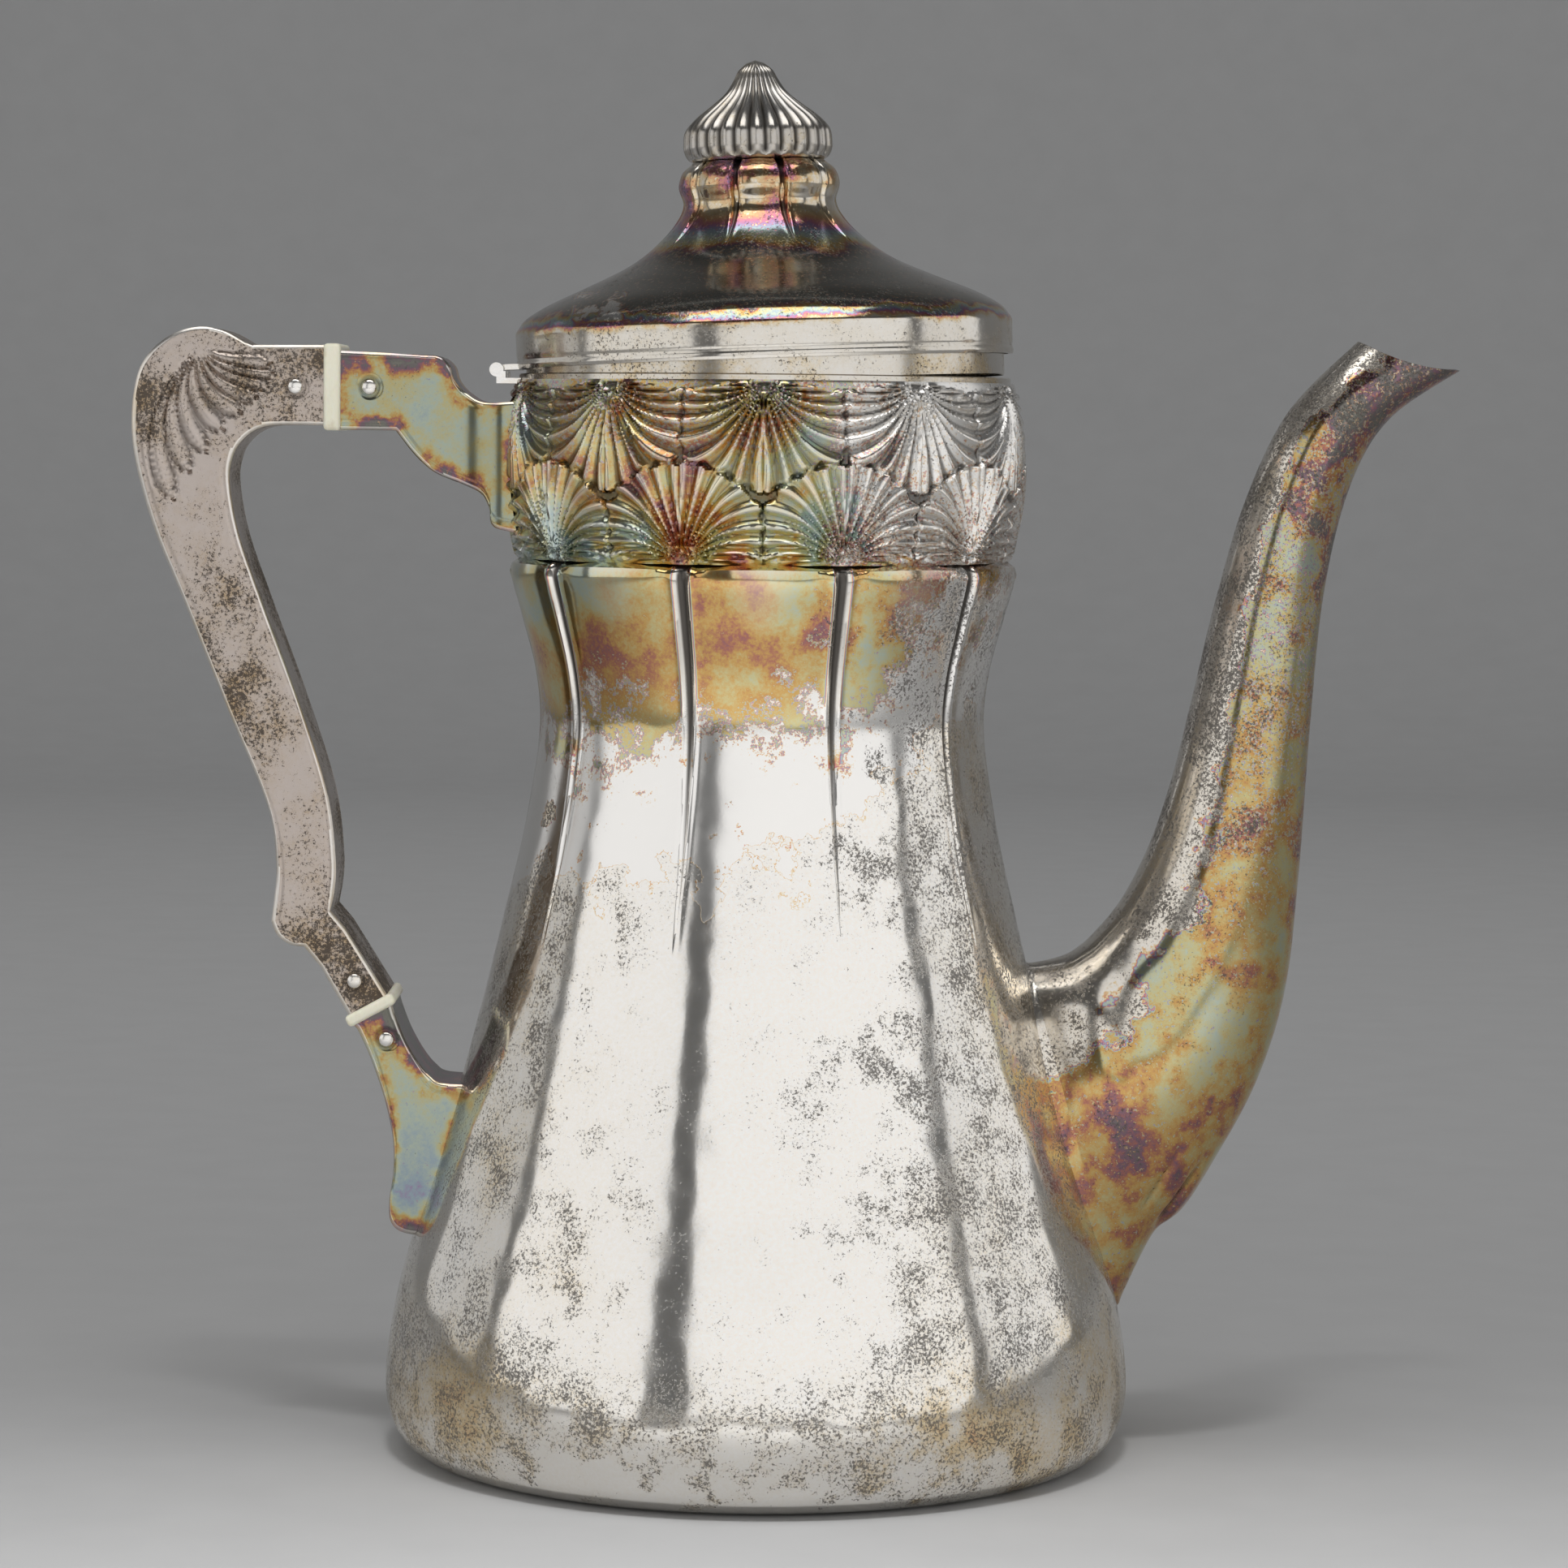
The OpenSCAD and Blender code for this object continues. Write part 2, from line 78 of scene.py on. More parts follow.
# %% Outlines of the turned pieces, radius and height in millimetres
SHEET, DIVISIONS, GADROONS = 0.8, 10, 28
BODY = curve([(53, 0), (57.2, 1), (60.2, 4), (61.8, 10.5), (61, 20), (58.4, 32), (53, 49),
              (47.7, 68), (43, 87), (39.2, 103), (36.7, 119), (37.2, 129), (39.6, 139),
              (41.3, 145.5), (40.6, 148.2)])
FRIEZE = curve([(40.6, 148.2), (41.3, 151.2), (42.5, 159), (42.6, 167), (41.9, 173), (41, 177.3)])
LID = np.vstack([[(40.9, 178.9)], curve([
    (40.9, 184.1), (40.4, 185.4), (38.9, 187.1), (35, 189.3), (28.4, 192.1), (21.7, 195.2),
    (17, 198.6), (13.9, 201.7), (12.3, 204.8), (12.8, 207.8), (12, 210.2), (10.9, 211.6)])])
FINIAL = np.vstack([[(10.6, 211.6)], curve([
    (11.5, 212.1), (12, 213.4), (12.1, 214.4), (11.8, 216.7), (10, 218.8), (7.4, 220.8),
    (5, 222.9), (3.6, 225), (2.8, 226.5), (1.5, 227.7)]), [(0, 228.2)]])
POT = np.vstack([BODY, FRIEZE])


def pot_radius(z):
    """Outer radius of the pot at a height."""
    return np.interp(z, POT[:, 1], POT[:, 0])


print("body outline", len(BODY), "points, waist radius", round(BODY[:, 0].min(), 2), "mm")


# %% [markdown]
# ## Nodes as sums
# Both the finishes and the repeats are node trees. Written node by node they are hard to read,
# so one small class wraps a socket and lets Python's own operators add the Math nodes, and one
# method adds any other node from its type, its settings and its sockets.

# %% A socket that can be reckoned with
class Wire:
    def __init__(self, tree, socket):
        self.tree, self.socket = tree, socket

    def sum(self, operation, *values):
        return add(self.tree, "ShaderNodeMath", {"operation": operation}, dict(enumerate(values)))

    def __add__(self, other): return self.sum("ADD", self, other)
    def __radd__(self, other): return self.sum("ADD", other, self)
    def __sub__(self, other): return self.sum("SUBTRACT", self, other)
    def __rsub__(self, other): return self.sum("SUBTRACT", other, self)
    def __mul__(self, other): return self.sum("MULTIPLY", self, other)
    def __rmul__(self, other): return self.sum("MULTIPLY", other, self)
    def __truediv__(self, other): return self.sum("DIVIDE", self, other)
    def __abs__(self): return self.sum("ABSOLUTE", self)
    def most(self, other): return self.sum("MAXIMUM", self, other)
    def least(self, other): return self.sum("MINIMUM", self, other)


def add(tree, kind, settings=None, sockets=None, output=0):
    """A new node: its settings first, then its sockets' values or links. Gives one output."""
    node = tree.nodes.new(kind)
    for key, value in (settings or {}).items():
        if key == "stops":
            ramp = node.color_ramp.elements
            while len(ramp) < len(value):
                ramp.new(0.5)
            for stop, (place, colour) in zip(ramp, value):
                stop.position, stop.color = place, (*colour, 1)
        else:
            setattr(node, key, value)
    for key, value in (sockets or {}).items():
        if isinstance(value, Wire):
            tree.links.new(value.socket, node.inputs[key])
        else:
            node.inputs[key].default_value = value
    return Wire(tree, node.outputs[output])


# %% Helpers that the finishes share
def noise(where, size, detail=3.0, rough=0.55, seed=0.0):
    """Cloudy values near 0.5. size is the width of one cloud, in millimetres."""
    return add(where.tree, "ShaderNodeTexNoise", {"noise_dimensions": "4D"},
               {"Vector": where, "W": seed, "Scale": 1 / size, "Detail": detail,
                "Roughness": rough})


def smooth(value, low, high):
    """0 below low, 1 above high, and a soft step between."""
    return add(value.tree, "ShaderNodeMapRange", {"interpolation_type": "SMOOTHSTEP"},
               {0: value, 1: low, 2: high})


def blend(share, a, b):
    """Colour a where share is 0, b where it is 1."""
    return add(share.tree, "ShaderNodeMix", {"data_type": "RGBA"}, {0: share, 6: a, 7: b}, 2)


# %% [markdown]
# ## Tarnished silver
# Silver in a cupboard grows a film of sulphide. As the film thickens the metal turns straw,
# gold, orange, magenta, purple, blue, pale green and at last brown, like oil on water. So the
# finish works out one number, the film's thickness, and one ramp turns it into colour. Clean
# spots bite into the film, and because the film thins towards a spot's edge, each spot gets its
# own magenta and orange rim without being drawn. Grey crust is the other sign of age: dull
# grains that lie on the clean metal in clusters.

# %% The film's colours, thin to thick
FILM = [(0.0, (0.86, 0.84, 0.81)), (0.10, (0.83, 0.78, 0.70)), (0.20, (0.78, 0.62, 0.38)),
        (0.29, (0.70, 0.38, 0.20)), (0.37, (0.58, 0.22, 0.30)), (0.43, (0.40, 0.26, 0.44)),
        (0.50, (0.36, 0.45, 0.52)), (0.60, (0.50, 0.57, 0.48)), (0.69, (0.60, 0.54, 0.28)),
        (0.77, (0.62, 0.38, 0.13)), (0.83, (0.46, 0.19, 0.14)), (0.88, (0.26, 0.15, 0.20)),
        (0.93, (0.20, 0.18, 0.18)), (1.0, (0.24, 0.235, 0.205))]
CRUST = (0.115, 0.105, 0.095, 1)
# A near-black for hollows: dirt, and also painted shade.
DIRT_AND_SHADE = (0.055, 0.048, 0.042, 1)
# A pale silver for raised relief: rubbed metal, and also a painted highlight.
RUB_AND_SHEEN = (0.86, 0.82, 0.76, 1)
CLOUD, PATCH, SPOT, GRAIN, DENT = 24, 6.5, 0.65, 0.5, 10
print("film colours:", len(FILM), "/ noise widths in mm:", CLOUD, PATCH, SPOT, GRAIN, DENT)


# %% What a finish knows about each place on a piece
def new_material(name):
    """A material with its tree, its shader and the place in millimetres."""
    material = bpy.data.materials.new(name)
    material.use_nodes = True
    tree = material.node_tree
    place = add(tree, "ShaderNodeTexCoord", output="Object")
    mm = add(tree, "ShaderNodeVectorMath", {"operation": "SCALE"}, {0: place, "Scale": 1 / MM})
    return material, tree, tree.nodes["Principled BSDF"], mm


def attribute(tree, name):
    """A number that a mesh keeps for each of its points."""
    return add(tree, "ShaderNodeAttribute", {"attribute_name": name}, output="Fac")


class Place:
    """Where a spot is, x, y and z in millimetres, and how tarnish varies there: cloud and
    patch are wide and narrow noise, 0 to 1. edge is 1 at the edge of a plate and on the
    spout's upper side."""
    def __init__(self, tree, mm):
        split = add(tree, "ShaderNodeSeparateXYZ", sockets={0: mm}).socket.node
        self.x, self.y, self.z = (Wire(tree, out) for out in split.outputs)
        self.cloud = smooth(noise(mm, CLOUD, 3, seed=1.0), 0.3, 0.7)
        self.patch = smooth(noise(mm, PATCH, 5, 0.62, seed=4.0), 0.3, 0.7)
        self.edge = attribute(tree, "edge")

    def uneven(self, by_cloud, by_patch):
        """Unevenness about 0, from the two noises."""
        return by_cloud * (self.cloud - 0.5) + by_patch * (self.patch - 0.5)


# %% One maker for every silver finish
def silver(name, film_of, gloss=0.08, tint=(1, 1, 1), dents=0.05, rub=0.0, grime_and_shade=0.85,
           rub_and_sheen_from=0.55):
    """A finish. film_of gives film thickness, bite and crust, 0 to 1, at a Place. The last
    argument is the relief above which the metal stays bright, as rubbed metal and as a painted
    highlight."""
    material, tree, shader, mm = new_material(name)
    at = Place(tree, mm)
    film, bite, crust = film_of(at)
    relief = attribute(tree, "relief")
    # Hollows, where the relief is below zero, are darkened: dirt, and painted shade in the
    # creases, grooves and rings round the pins.
    dirt_and_shade = smooth(relief, -0.06, -0.42) * grime_and_shade
    # Raised relief is made pale and less tinted: rubbed metal, and a painted highlight along
    # ridges and edges.
    rub_and_sheen = smooth(relief, rub_and_sheen_from, rub_and_sheen_from + 0.4)
    spots = noise(mm, SPOT, 5, 0.7, seed=11.0)
    reach = 0.76 - 0.42 * bite
    bitten = smooth(spots, reach, reach + 0.24)
    step = 0.78 - 0.38 * crust - 0.12 * (at.patch - 0.5)
    crusted = smooth(noise(mm, GRAIN, 6, 0.8, seed=7.0), step, step + 0.035) * (1 - rub_and_sheen)

    thick = (film + 0.25 * (spots - 0.5)) * (1 - bitten)
    colours = add(tree, "ShaderNodeValToRGB", {"stops": FILM}, {0: thick})
    colours = blend(crusted * 0.88, colours, CRUST)
    colours = blend(rub_and_sheen * 0.45, colours, RUB_AND_SHEEN)
    colours = blend(dirt_and_shade, colours, DIRT_AND_SHADE)
    tinted = add(tree, "ShaderNodeMix", {"data_type": "RGBA", "blend_type": "MULTIPLY"},
                 {0: 1 - 0.8 * rub_and_sheen, 6: colours, 7: (*tint, 1)}, 2)

    streaks = noise(mm, GRAIN, 2, 0.5, seed=2.0)
    rough = (gloss + 0.05 * at.patch + 0.03 * streaks + 0.24 * crusted + 0.05 * bitten
             + 0.2 * dirt_and_shade)
    hammered = noise(mm, DENT, 1, 0.4, seed=3.0) * dents
    height = hammered + 0.008 * crusted + 0.003 * streaks + 0.005 * bitten + rub * at.patch
    bump = add(tree, "ShaderNodeBump", None, {"Strength": 1.0, "Distance": MM,
                                              "Height": height})
    tree.links.new(tinted.socket, shader.inputs["Base Color"])
    tree.links.new(rough.socket, shader.inputs["Roughness"])
    tree.links.new((1 - 0.3 * crusted).socket, shader.inputs["Metallic"])
    tree.links.new(bump.socket, shader.inputs["Normal"])
    return material


# %% [markdown]
# ## Where each piece has tarnished
# Polishing reaches the plain belly and misses the neck, so the film is thick above the waist and
# thin below. Each function below only says how thick the film is, how much it is bitten and how
# much crust there is, from the place on the piece. A painted mask could say the same, but a sum
# of soft steps needs no picture and holds at any distance.

# %% The body: a thick film above the waist, crust at the foot and the sides
def body_film(at):
    line = 106.5 + at.uneven(16, 14) + 0.75 * at.x.most(0.0)
    above = smooth(at.z, line - 9, line - 7)
    right = smooth(at.x + at.uneven(0, 16), 4.0, 24.0)
    low = smooth(abs(at.z + at.uneven(0, 14) - 14.0), 12.0, 4.0)
    side = smooth(abs(at.x) + at.uneven(0, 14), 14.0, 42.0)
    turn = at.x.sum("ARCTAN2", at.y, at.x) * (DIVISIONS / 2 / math.pi)
    in_flute = smooth(turn.sum("PINGPONG", turn, 0.5), 0.07, 0.045)
    in_flute = in_flute * smooth(at.z, 112.0, 122.0)
    film = (0.715 + at.uneven(0.18, 0.14) + 0.12 * right).most(0.60)
    film = above * film * (1 - 0.92 * in_flute)
    film = film + (1 - above) * (0.03 + 0.10 * low * at.patch + 0.12 * side * at.cloud)
    bite = above * (0.32 + 0.26 * right + 1.6 * smooth(at.z, line + 20, line - 5))
    crust = (0.42 + 0.26 * low + 0.24 * side + 0.22 * right + at.uneven(0.16, 0)).least(0.68)
    return film, bite, crust - 0.26 * above * (1 - right)


body_silver = silver("body_silver", body_film, gloss=0.07, dents=0.3, grime_and_shade=0.95)


# %% The frieze and the spout
def frieze_film(at):
    right = smooth(at.x + at.uneven(0, 14), 8.0, 22.0)
    film = (0.73 + at.uneven(0.20, 0.26)).most(0.56)
    upper = smooth(at.z + at.uneven(0, 10), 160.0, 174.0)
    return film, 0.50 + 0.62 * right + 0.24 * upper, 0.38 + 0.16 * right


def spout_film(at):
    high = smooth(at.z + at.uneven(20, 40), 66.0, 150.0)
    lip = smooth(at.z + at.uneven(0, 30), 128.0, 178.0)
    film = (0.76 + at.uneven(0.14, 0.22)).most(0.56) + 0.2 * lip
    clean = smooth(at.edge + at.uneven(0, 0.5), 0.34, 0.48)
    return (film * (1 - 0.88 * clean), 0.50 + 0.24 * high - 0.14 * lip,
            0.50 + 0.16 * high + 0.10 * clean)


frieze_silver = silver("frieze_silver", frieze_film, gloss=0.16, tint=(0.90, 0.90, 0.90),
                       grime_and_shade=0.74, rub_and_sheen_from=0.22)
spout_silver = silver("spout_silver", spout_film, gloss=0.09, tint=(0.88, 0.87, 0.86),
                      dents=0.04)


# %% The lid: bright rim, rainbow band, dark dome, coloured collar
def lid_film(at):
    collar = smooth(at.z + at.uneven(3, 4), 194.0, 207.0)
    film = 0.08 + 1.02 * smooth(at.z + at.uneven(0, 1.6) - 0.042 * at.x, 185.3, 190.2)
    film = (film + at.uneven(0, 0.10)) * (1 - collar) + collar * (0.26 + at.uneven(0, 0.40))
    # A clean patch on the front left of the rim band, where the film is taken away: a painted
    # highlight.
    painted_highlight_patch = smooth(abs(at.x + 26.5), 5.0, 3.4) * smooth(abs(at.z - 188.8), 3.0, 1.9)
    painted_highlight_patch = painted_highlight_patch * smooth(at.y, 0.0, -5.0) * smooth(at.patch, 0.30, 0.44)
    return film * (1 - painted_highlight_patch), 0.60, 0.52


lid_silver = silver("lid_silver", lid_film, gloss=0.09, tint=(0.82, 0.81, 0.79), dents=0.08)


# %% The handle's sockets, and pieces that tarnish alike all over
def socket_film(at):
    return 0.62 + 0.34 * at.edge * at.patch + at.uneven(0.20, 0.14), 0.42, 0.36


def even_film(mean, by_cloud, by_patch, bite, crust, crust_by_cloud=0.0):
    """A film with the same mean thickness everywhere, a little uneven."""
    return lambda at: (mean + at.uneven(by_cloud, by_patch), bite,
                       crust + at.uneven(crust_by_cloud, 0))


socket_silver = silver("socket_silver", socket_film, gloss=0.14, tint=(0.66, 0.66, 0.65))
grip_silver = silver("grip_silver", even_film(0.08, 0.10, 0.16, 0.2, 0.66, 0.34), gloss=0.26,
                     tint=(0.58, 0.52, 0.49), rub=0.03, grime_and_shade=0.7)
rim_silver = silver("rim_silver", even_film(0.09, 0.12, 0.12, 0.2, 0.56), gloss=0.16,
                    tint=(0.80, 0.79, 0.77))
strip_silver = silver("strip_silver", even_film(0.90, 0.2, 0.2, 0.3, 0.4), gloss=0.2)
finial_silver = silver("finial_silver", even_film(0.07, 0, 0.12, 0.1, 0.42), gloss=0.2,
                       tint=(0.60, 0.59, 0.58))
pin_silver = silver("pin_silver", even_film(0.04, 0, 0.1, 0.0, 0.22), gloss=0.2, rub=0.05)
finishes = [made.name for made in bpy.data.materials if made.name.endswith("_silver")]
print("silver finishes made:", *finishes)


# %% [markdown]
# ## Pale insulators
# The two insulators are cut from a pale, close-grained material that silversmiths use because it
# carries heat badly. It is soft and waxy to the light, so some light goes in under the surface,
# and noise that is stretched along the piece gives it a faint grain and a few brown stains.

# %% The insulators' finish
def pale_grain():
    material, tree, shader, mm = new_material("insulator")
    grain_way = add(tree, "ShaderNodeMapping", None, {"Vector": mm, "Scale": (3, 0.24, 0.9)})
    grain = add(tree, "ShaderNodeTexNoise", None, {"Vector": grain_way, "Scale": 1.0,
                                                   "Detail": 4.0})
    stain = smooth(noise(mm, 2.5, 4), 0.52, 0.72)
    body = blend(grain, (0.95, 0.93, 0.78, 1), (0.90, 0.86, 0.68, 1))
    colour = blend(stain * 0.35, body, (0.55, 0.44, 0.26, 1))
    tree.links.new(colour.socket, shader.inputs["Base Color"])
    tree.links.new((0.34 + 0.2 * grain).socket, shader.inputs["Roughness"])
    shader.inputs["Subsurface Weight"].default_value = 0.25
    shader.inputs["Subsurface Radius"].default_value = (0.004, 0.003, 0.0015)
    bump = add(tree, "ShaderNodeBump", None, {"Strength": 0.4, "Distance": 0.00008,
                                              "Height": grain})
    tree.links.new(bump.socket, shader.inputs["Normal"])
    return material


insulator_pale = pale_grain()
print("finish made:", insulator_pale.name)


# %% [markdown]
# ## Meshes from rows of points
# Every raised piece here is a net: rows of points with the same count in each. One function
# turns such a net into a mesh with outward faces, and joins a row or a column round on itself.

# %% From a net to an object
def mend(mesh, merge=1e-6, sharp=38):
    """Merges doubles, turns the faces outwards and marks the sharp edges."""
    bm = bmesh.new()
    bm.from_mesh(mesh)
    bmesh.ops.remove_doubles(bm, verts=bm.verts, dist=merge)
    bmesh.ops.dissolve_degenerate(bm, edges=bm.edges, dist=merge)
    bmesh.ops.recalc_face_normals(bm, faces=bm.faces)
    for face in bm.faces:
        face.smooth = True
    bm.to_mesh(mesh)
    bm.free()
    mesh.set_sharp_from_angle(angle=math.radians(sharp))


def net(name, points, round_rows=False, round_columns=False, **kept):
    """An object from points[row][column], in millimetres. kept holds numbers for each point,
    such as its relief, which the finishes read as attributes."""
    p = np.asarray(points, float)
    rows, columns = p.shape[:2]
    index = np.arange(rows * columns).reshape(rows, columns)
    if round_rows:
        index = np.vstack([index, index[:1]])
    if round_columns:
        index = np.hstack([index, index[:, :1]])
    faces = np.stack([index[:-1, :-1], index[:-1, 1:], index[1:, 1:], index[1:, :-1]], -1)
    mesh = bpy.data.meshes.new(name)
    mesh.from_pydata((p.reshape(-1, 3) * MM).tolist(), [], faces.reshape(-1, 4).tolist())
    for key, values in kept.items():
        mesh.attributes.new(key, "FLOAT", "POINT").data.foreach_set("value", values.ravel())
    piece = bpy.data.objects.new(name, mesh)
    bpy.context.collection.objects.link(piece)
    return piece


def settle(piece, body, slot, *nodes):
    """The piece stands for its CAD nodes and rides on its body. slot is not used."""
    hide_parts(*nodes)
    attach(piece, body)
    print(f"{piece.name}: {len(piece.data.polygons)} faces on {body}")


# %% [markdown]
# ## One slice, repeated round
# The pot's ornament is tenfold: ten flutes, ten fans below and ten above, ten lobes on the lid.
# A chaser works one division and repeats it. Here one slice is a net with its relief, and a
# Geometry Nodes tree sets copies of it round the axis, welds them and gives them their finish.
# The tree's inputs are named, so the same tree makes 10 divisions or 28.

# %% How a tree starts, ends and runs
def new_tree(name, **inputs):
    """A tree with named inputs, each with its kind, and one output. Gives it and its inputs."""
    tree = bpy.data.node_groups.new(name, "GeometryNodeTree")
    for label, kind in inputs.items():
        tree.interface.new_socket(label, in_out="INPUT", socket_type=f"NodeSocket{kind}")
    tree.interface.new_socket("piece", in_out="OUTPUT", socket_type="NodeSocketGeometry")
    given = tree.nodes.new("NodeGroupInput")
    return tree, [Wire(tree, out) for out in given.outputs[:len(inputs)]]


def end_tree(tree, geometry, finish):
    """Ends a tree with its finish and its output."""
    done = add(tree, "GeometryNodeSetMaterial", None, {"Geometry": geometry, "Material": finish})
    tree.links.new(done.socket, tree.nodes.new("NodeGroupOutput").inputs[0])
    return tree


def run_tree(piece, tree, **values):
    """Runs a tree on the piece with its inputs set by identifier, and keeps the plain mesh."""
    modifier = piece.modifiers.new(tree.name, "NODES")
    modifier.node_group = tree
    for item in tree.interface.items_tree:
        if item.in_out == "INPUT" and item.name in values:
            modifier[item.identifier] = values[item.name]
    ready = piece.evaluated_get(bpy.context.evaluated_depsgraph_get())
    plain = bpy.data.meshes.new_from_object(ready)
    piece.modifiers.clear()
    piece.data = plain
    mend(plain)
    return piece


# %% The tree that repeats a slice round the axis
def repeat_tree():
    tree, (piece, divisions, weld, finish) = new_tree(
        "repeat_round", slice="Geometry", divisions="Int", weld_distance="Float",
        finish="Material")
    places = add(tree, "GeometryNodeMeshLine", None, {"Count": divisions,
                                                      "Offset": (0, 0, 0)})
    turn = add(tree, "GeometryNodeInputIndex") * (2 * math.pi) / divisions
    turned = add(tree, "ShaderNodeCombineXYZ", None, {"Z": turn})
    copies = add(tree, "GeometryNodeInstanceOnPoints", None,
                 {"Points": places, "Instance": piece, "Rotation": turned})
    real = add(tree, "GeometryNodeRealizeInstances", None, {0: copies})
    welded = add(tree, "GeometryNodeMergeByDistance", None, {"Geometry": real,
                                                             "Distance": weld})
    return end_tree(tree, welded, finish)


REPEAT = repeat_tree()
print("tree", REPEAT.name, "has", len(REPEAT.nodes), "nodes")


def repeated(piece, divisions, finish):
    return run_tree(piece, REPEAT, divisions=divisions, weld_distance=0.002 * MM, finish=finish)


# %% A slice of a turned piece
def slice_of(name, outside, inside, angles, relief):
    """A closed slice: the outside from low to high with relief pushed along its normal, then
    the inside from high to low. relief takes arc length and height, in millimetres."""
    path = np.vstack([outside, inside]) if len(inside) else np.asarray(outside)
    along = np.gradient(outside, axis=0)
    normal = np.column_stack([along[:, 1], -along[:, 0]])
    normal /= np.linalg.norm(normal, axis=1)[:, None] + 1e-12
    arc = outside[:, :1] * angles[None, :]
    push = relief(arc, np.repeat(outside[:, 1:], len(angles), 1))
    radius = np.repeat(path[:, :1], len(angles), 1)
    height = np.repeat(path[:, 1:], len(angles), 1)
    radius[:len(outside)] += push * normal[:, :1]
    height[:len(outside)] += push * normal[:, 1:]
    points = np.stack([radius * np.cos(angles), radius * np.sin(angles), height], -1)
    kept = np.zeros(points.shape[:2])
    kept[:len(outside)] = push
    return net(name, points, round_rows=len(inside) > 0, relief=kept)


def soft_step(value, low, high):
    """0 below low and 1 above high, for plain numbers."""
    t = np.clip((value - low) / (high - low), 0, 1)
    return t * t * (3 - 2 * t)


# A reversed pair of limits falls instead of rising, as in the shader's own soft step.
HALF = math.pi / DIVISIONS
print("one division is", round(math.degrees(2 * HALF)), "degrees")


# %% [markdown]
# ## The body
# Ten flutes hang from the frieze like pleats and die away below the waist. Each is a shallow
# channel with a raised lip on both sides, and between two of them the panel swells towards the
# shoulder and turns in under the frieze. The slice has more columns near its flute than in the
# plain metal, so the channel is crisp without a heavy mesh.

# %% Relief of one flute
FLUTE_TOP, FLUTE_END = 148.2, 86.0


def flute(arc, z):
    t = np.clip((z - FLUTE_END) / (FLUTE_TOP - FLUTE_END), 0, 1)
    half = 0.12 + 1.25 * t**1.15
    side = np.abs(arc) / half
    channel = -0.62 * t**0.7 * np.clip(1 - side**2, 0, 1) * soft_step(z, FLUTE_TOP, 146.4)
    lips = 0.26 * t**0.7 * np.exp(-(((np.abs(arc) - half - 0.25) / 0.42) ** 2))
    panel = np.sin(np.clip(np.abs(arc) / 12.9, 0, 1) * math.pi / 2)
    swell = 0.75 * soft_step(z, 121, 144) * panel
    turn_in = -0.7 * soft_step(z, 146.9, 148.4)
    brow = 147.1 - 1.7 * np.exp(-((arc / 2.7) ** 2))
    bead = 0.24 * np.exp(-(((z - brow) / 0.5) ** 2)) * soft_step(side, 0.7, 1.4)
    return channel + lips + swell + turn_in + bead


# %% Build the body
rows = np.vstack([spaced(BODY[BODY[:, 1] < 84], 62)[:-1], spaced(BODY[BODY[:, 1] >= 84], 112)])
inner = BODY[BODY[:, 1] > 3] - np.array([SHEET, 0])
inner = spaced(inner[::-1], 34)
inner = np.vstack([inner, [(53.4, 1.0), (50.8, 1.0), (50.8, 0)]])
share = np.linspace(-1, 1, 41)
body = slice_of("chased_body", rows, inner, HALF * (0.45 * share + 0.55 * share**3), flute)
repeated(body, DIVISIONS, body_silver)
print("ten flutes, each", round(-flute(np.zeros(1), np.full(1, 140.0))[0], 2), "mm deep")


# %% [markdown]
# Behind the spout the body's wall is pierced, so that the coffee pours and the grounds stay. The
# holes stand in staggered rows. A tree sets a drill at each spot and takes all the drills from
# the wall at once, which cuts real holes with clean edges.

# %% The tree that perforates
def perforate_tree(columns=5, holes=40):
    tree, (sheet, radius, pitch, lowest, depth, out_to, finish) = new_tree(
        "perforate", sheet="Geometry", hole_radius="Float", pitch="Float", lowest_row="Float",
        depth="Float", out_to="Float", finish="Material")
    index = add(tree, "GeometryNodeInputIndex")
    row = index.sum("FLOOR", index / columns + 0.01)
    column = index - columns * row
    stagger = row.sum("MODULO", row, 2.0)
    across = pitch * (column - columns // 2 + 0.5 * stagger)
    spot = add(tree, "ShaderNodeCombineXYZ", None,
               {"X": out_to, "Y": across, "Z": lowest + row * pitch})
    places = add(tree, "GeometryNodeMeshLine", None, {"Count": holes, "Offset": (0, 0, 0)})
    spread = add(tree, "GeometryNodeSetPosition", None, {"Geometry": places, "Position": spot})
    drill = add(tree, "GeometryNodeMeshCylinder", None,
                {"Vertices": 20, "Radius": radius, "Depth": depth})
    drills = add(tree, "GeometryNodeInstanceOnPoints", None,
                 {"Points": spread, "Instance": drill, "Rotation": (0, math.pi / 2, 0)})
    real = add(tree, "GeometryNodeRealizeInstances", None, {0: drills})
    cut = add(tree, "GeometryNodeMeshBoolean", {"operation": "DIFFERENCE", "solver": "MANIFOLD"},
              {0: sheet, 1: real})
    whole = add(tree, "GeometryNodeRealizeInstances", None, {0: cut})
    return end_tree(tree, whole, finish)


run_tree(body, perforate_tree(), hole_radius=1.0 * MM, pitch=3.8 * MM, lowest_row=45 * MM,
         depth=25 * MM, out_to=49.5 * MM, finish=body_silver)
settle(body, "pot", "body_silver", "body_shell")


# %% [markdown]
# ## The frieze
# Two rows of ten fans go round the neck, the lower ones upright and the upper ones hanging
# between them. A fan is easy to say in its own terms: how far a spot is from the fan's root, and
# at what angle. The angle, bent a little with distance, counts the ribs. The relief of one
# division is worked out on an even net and repeated by the same tree.

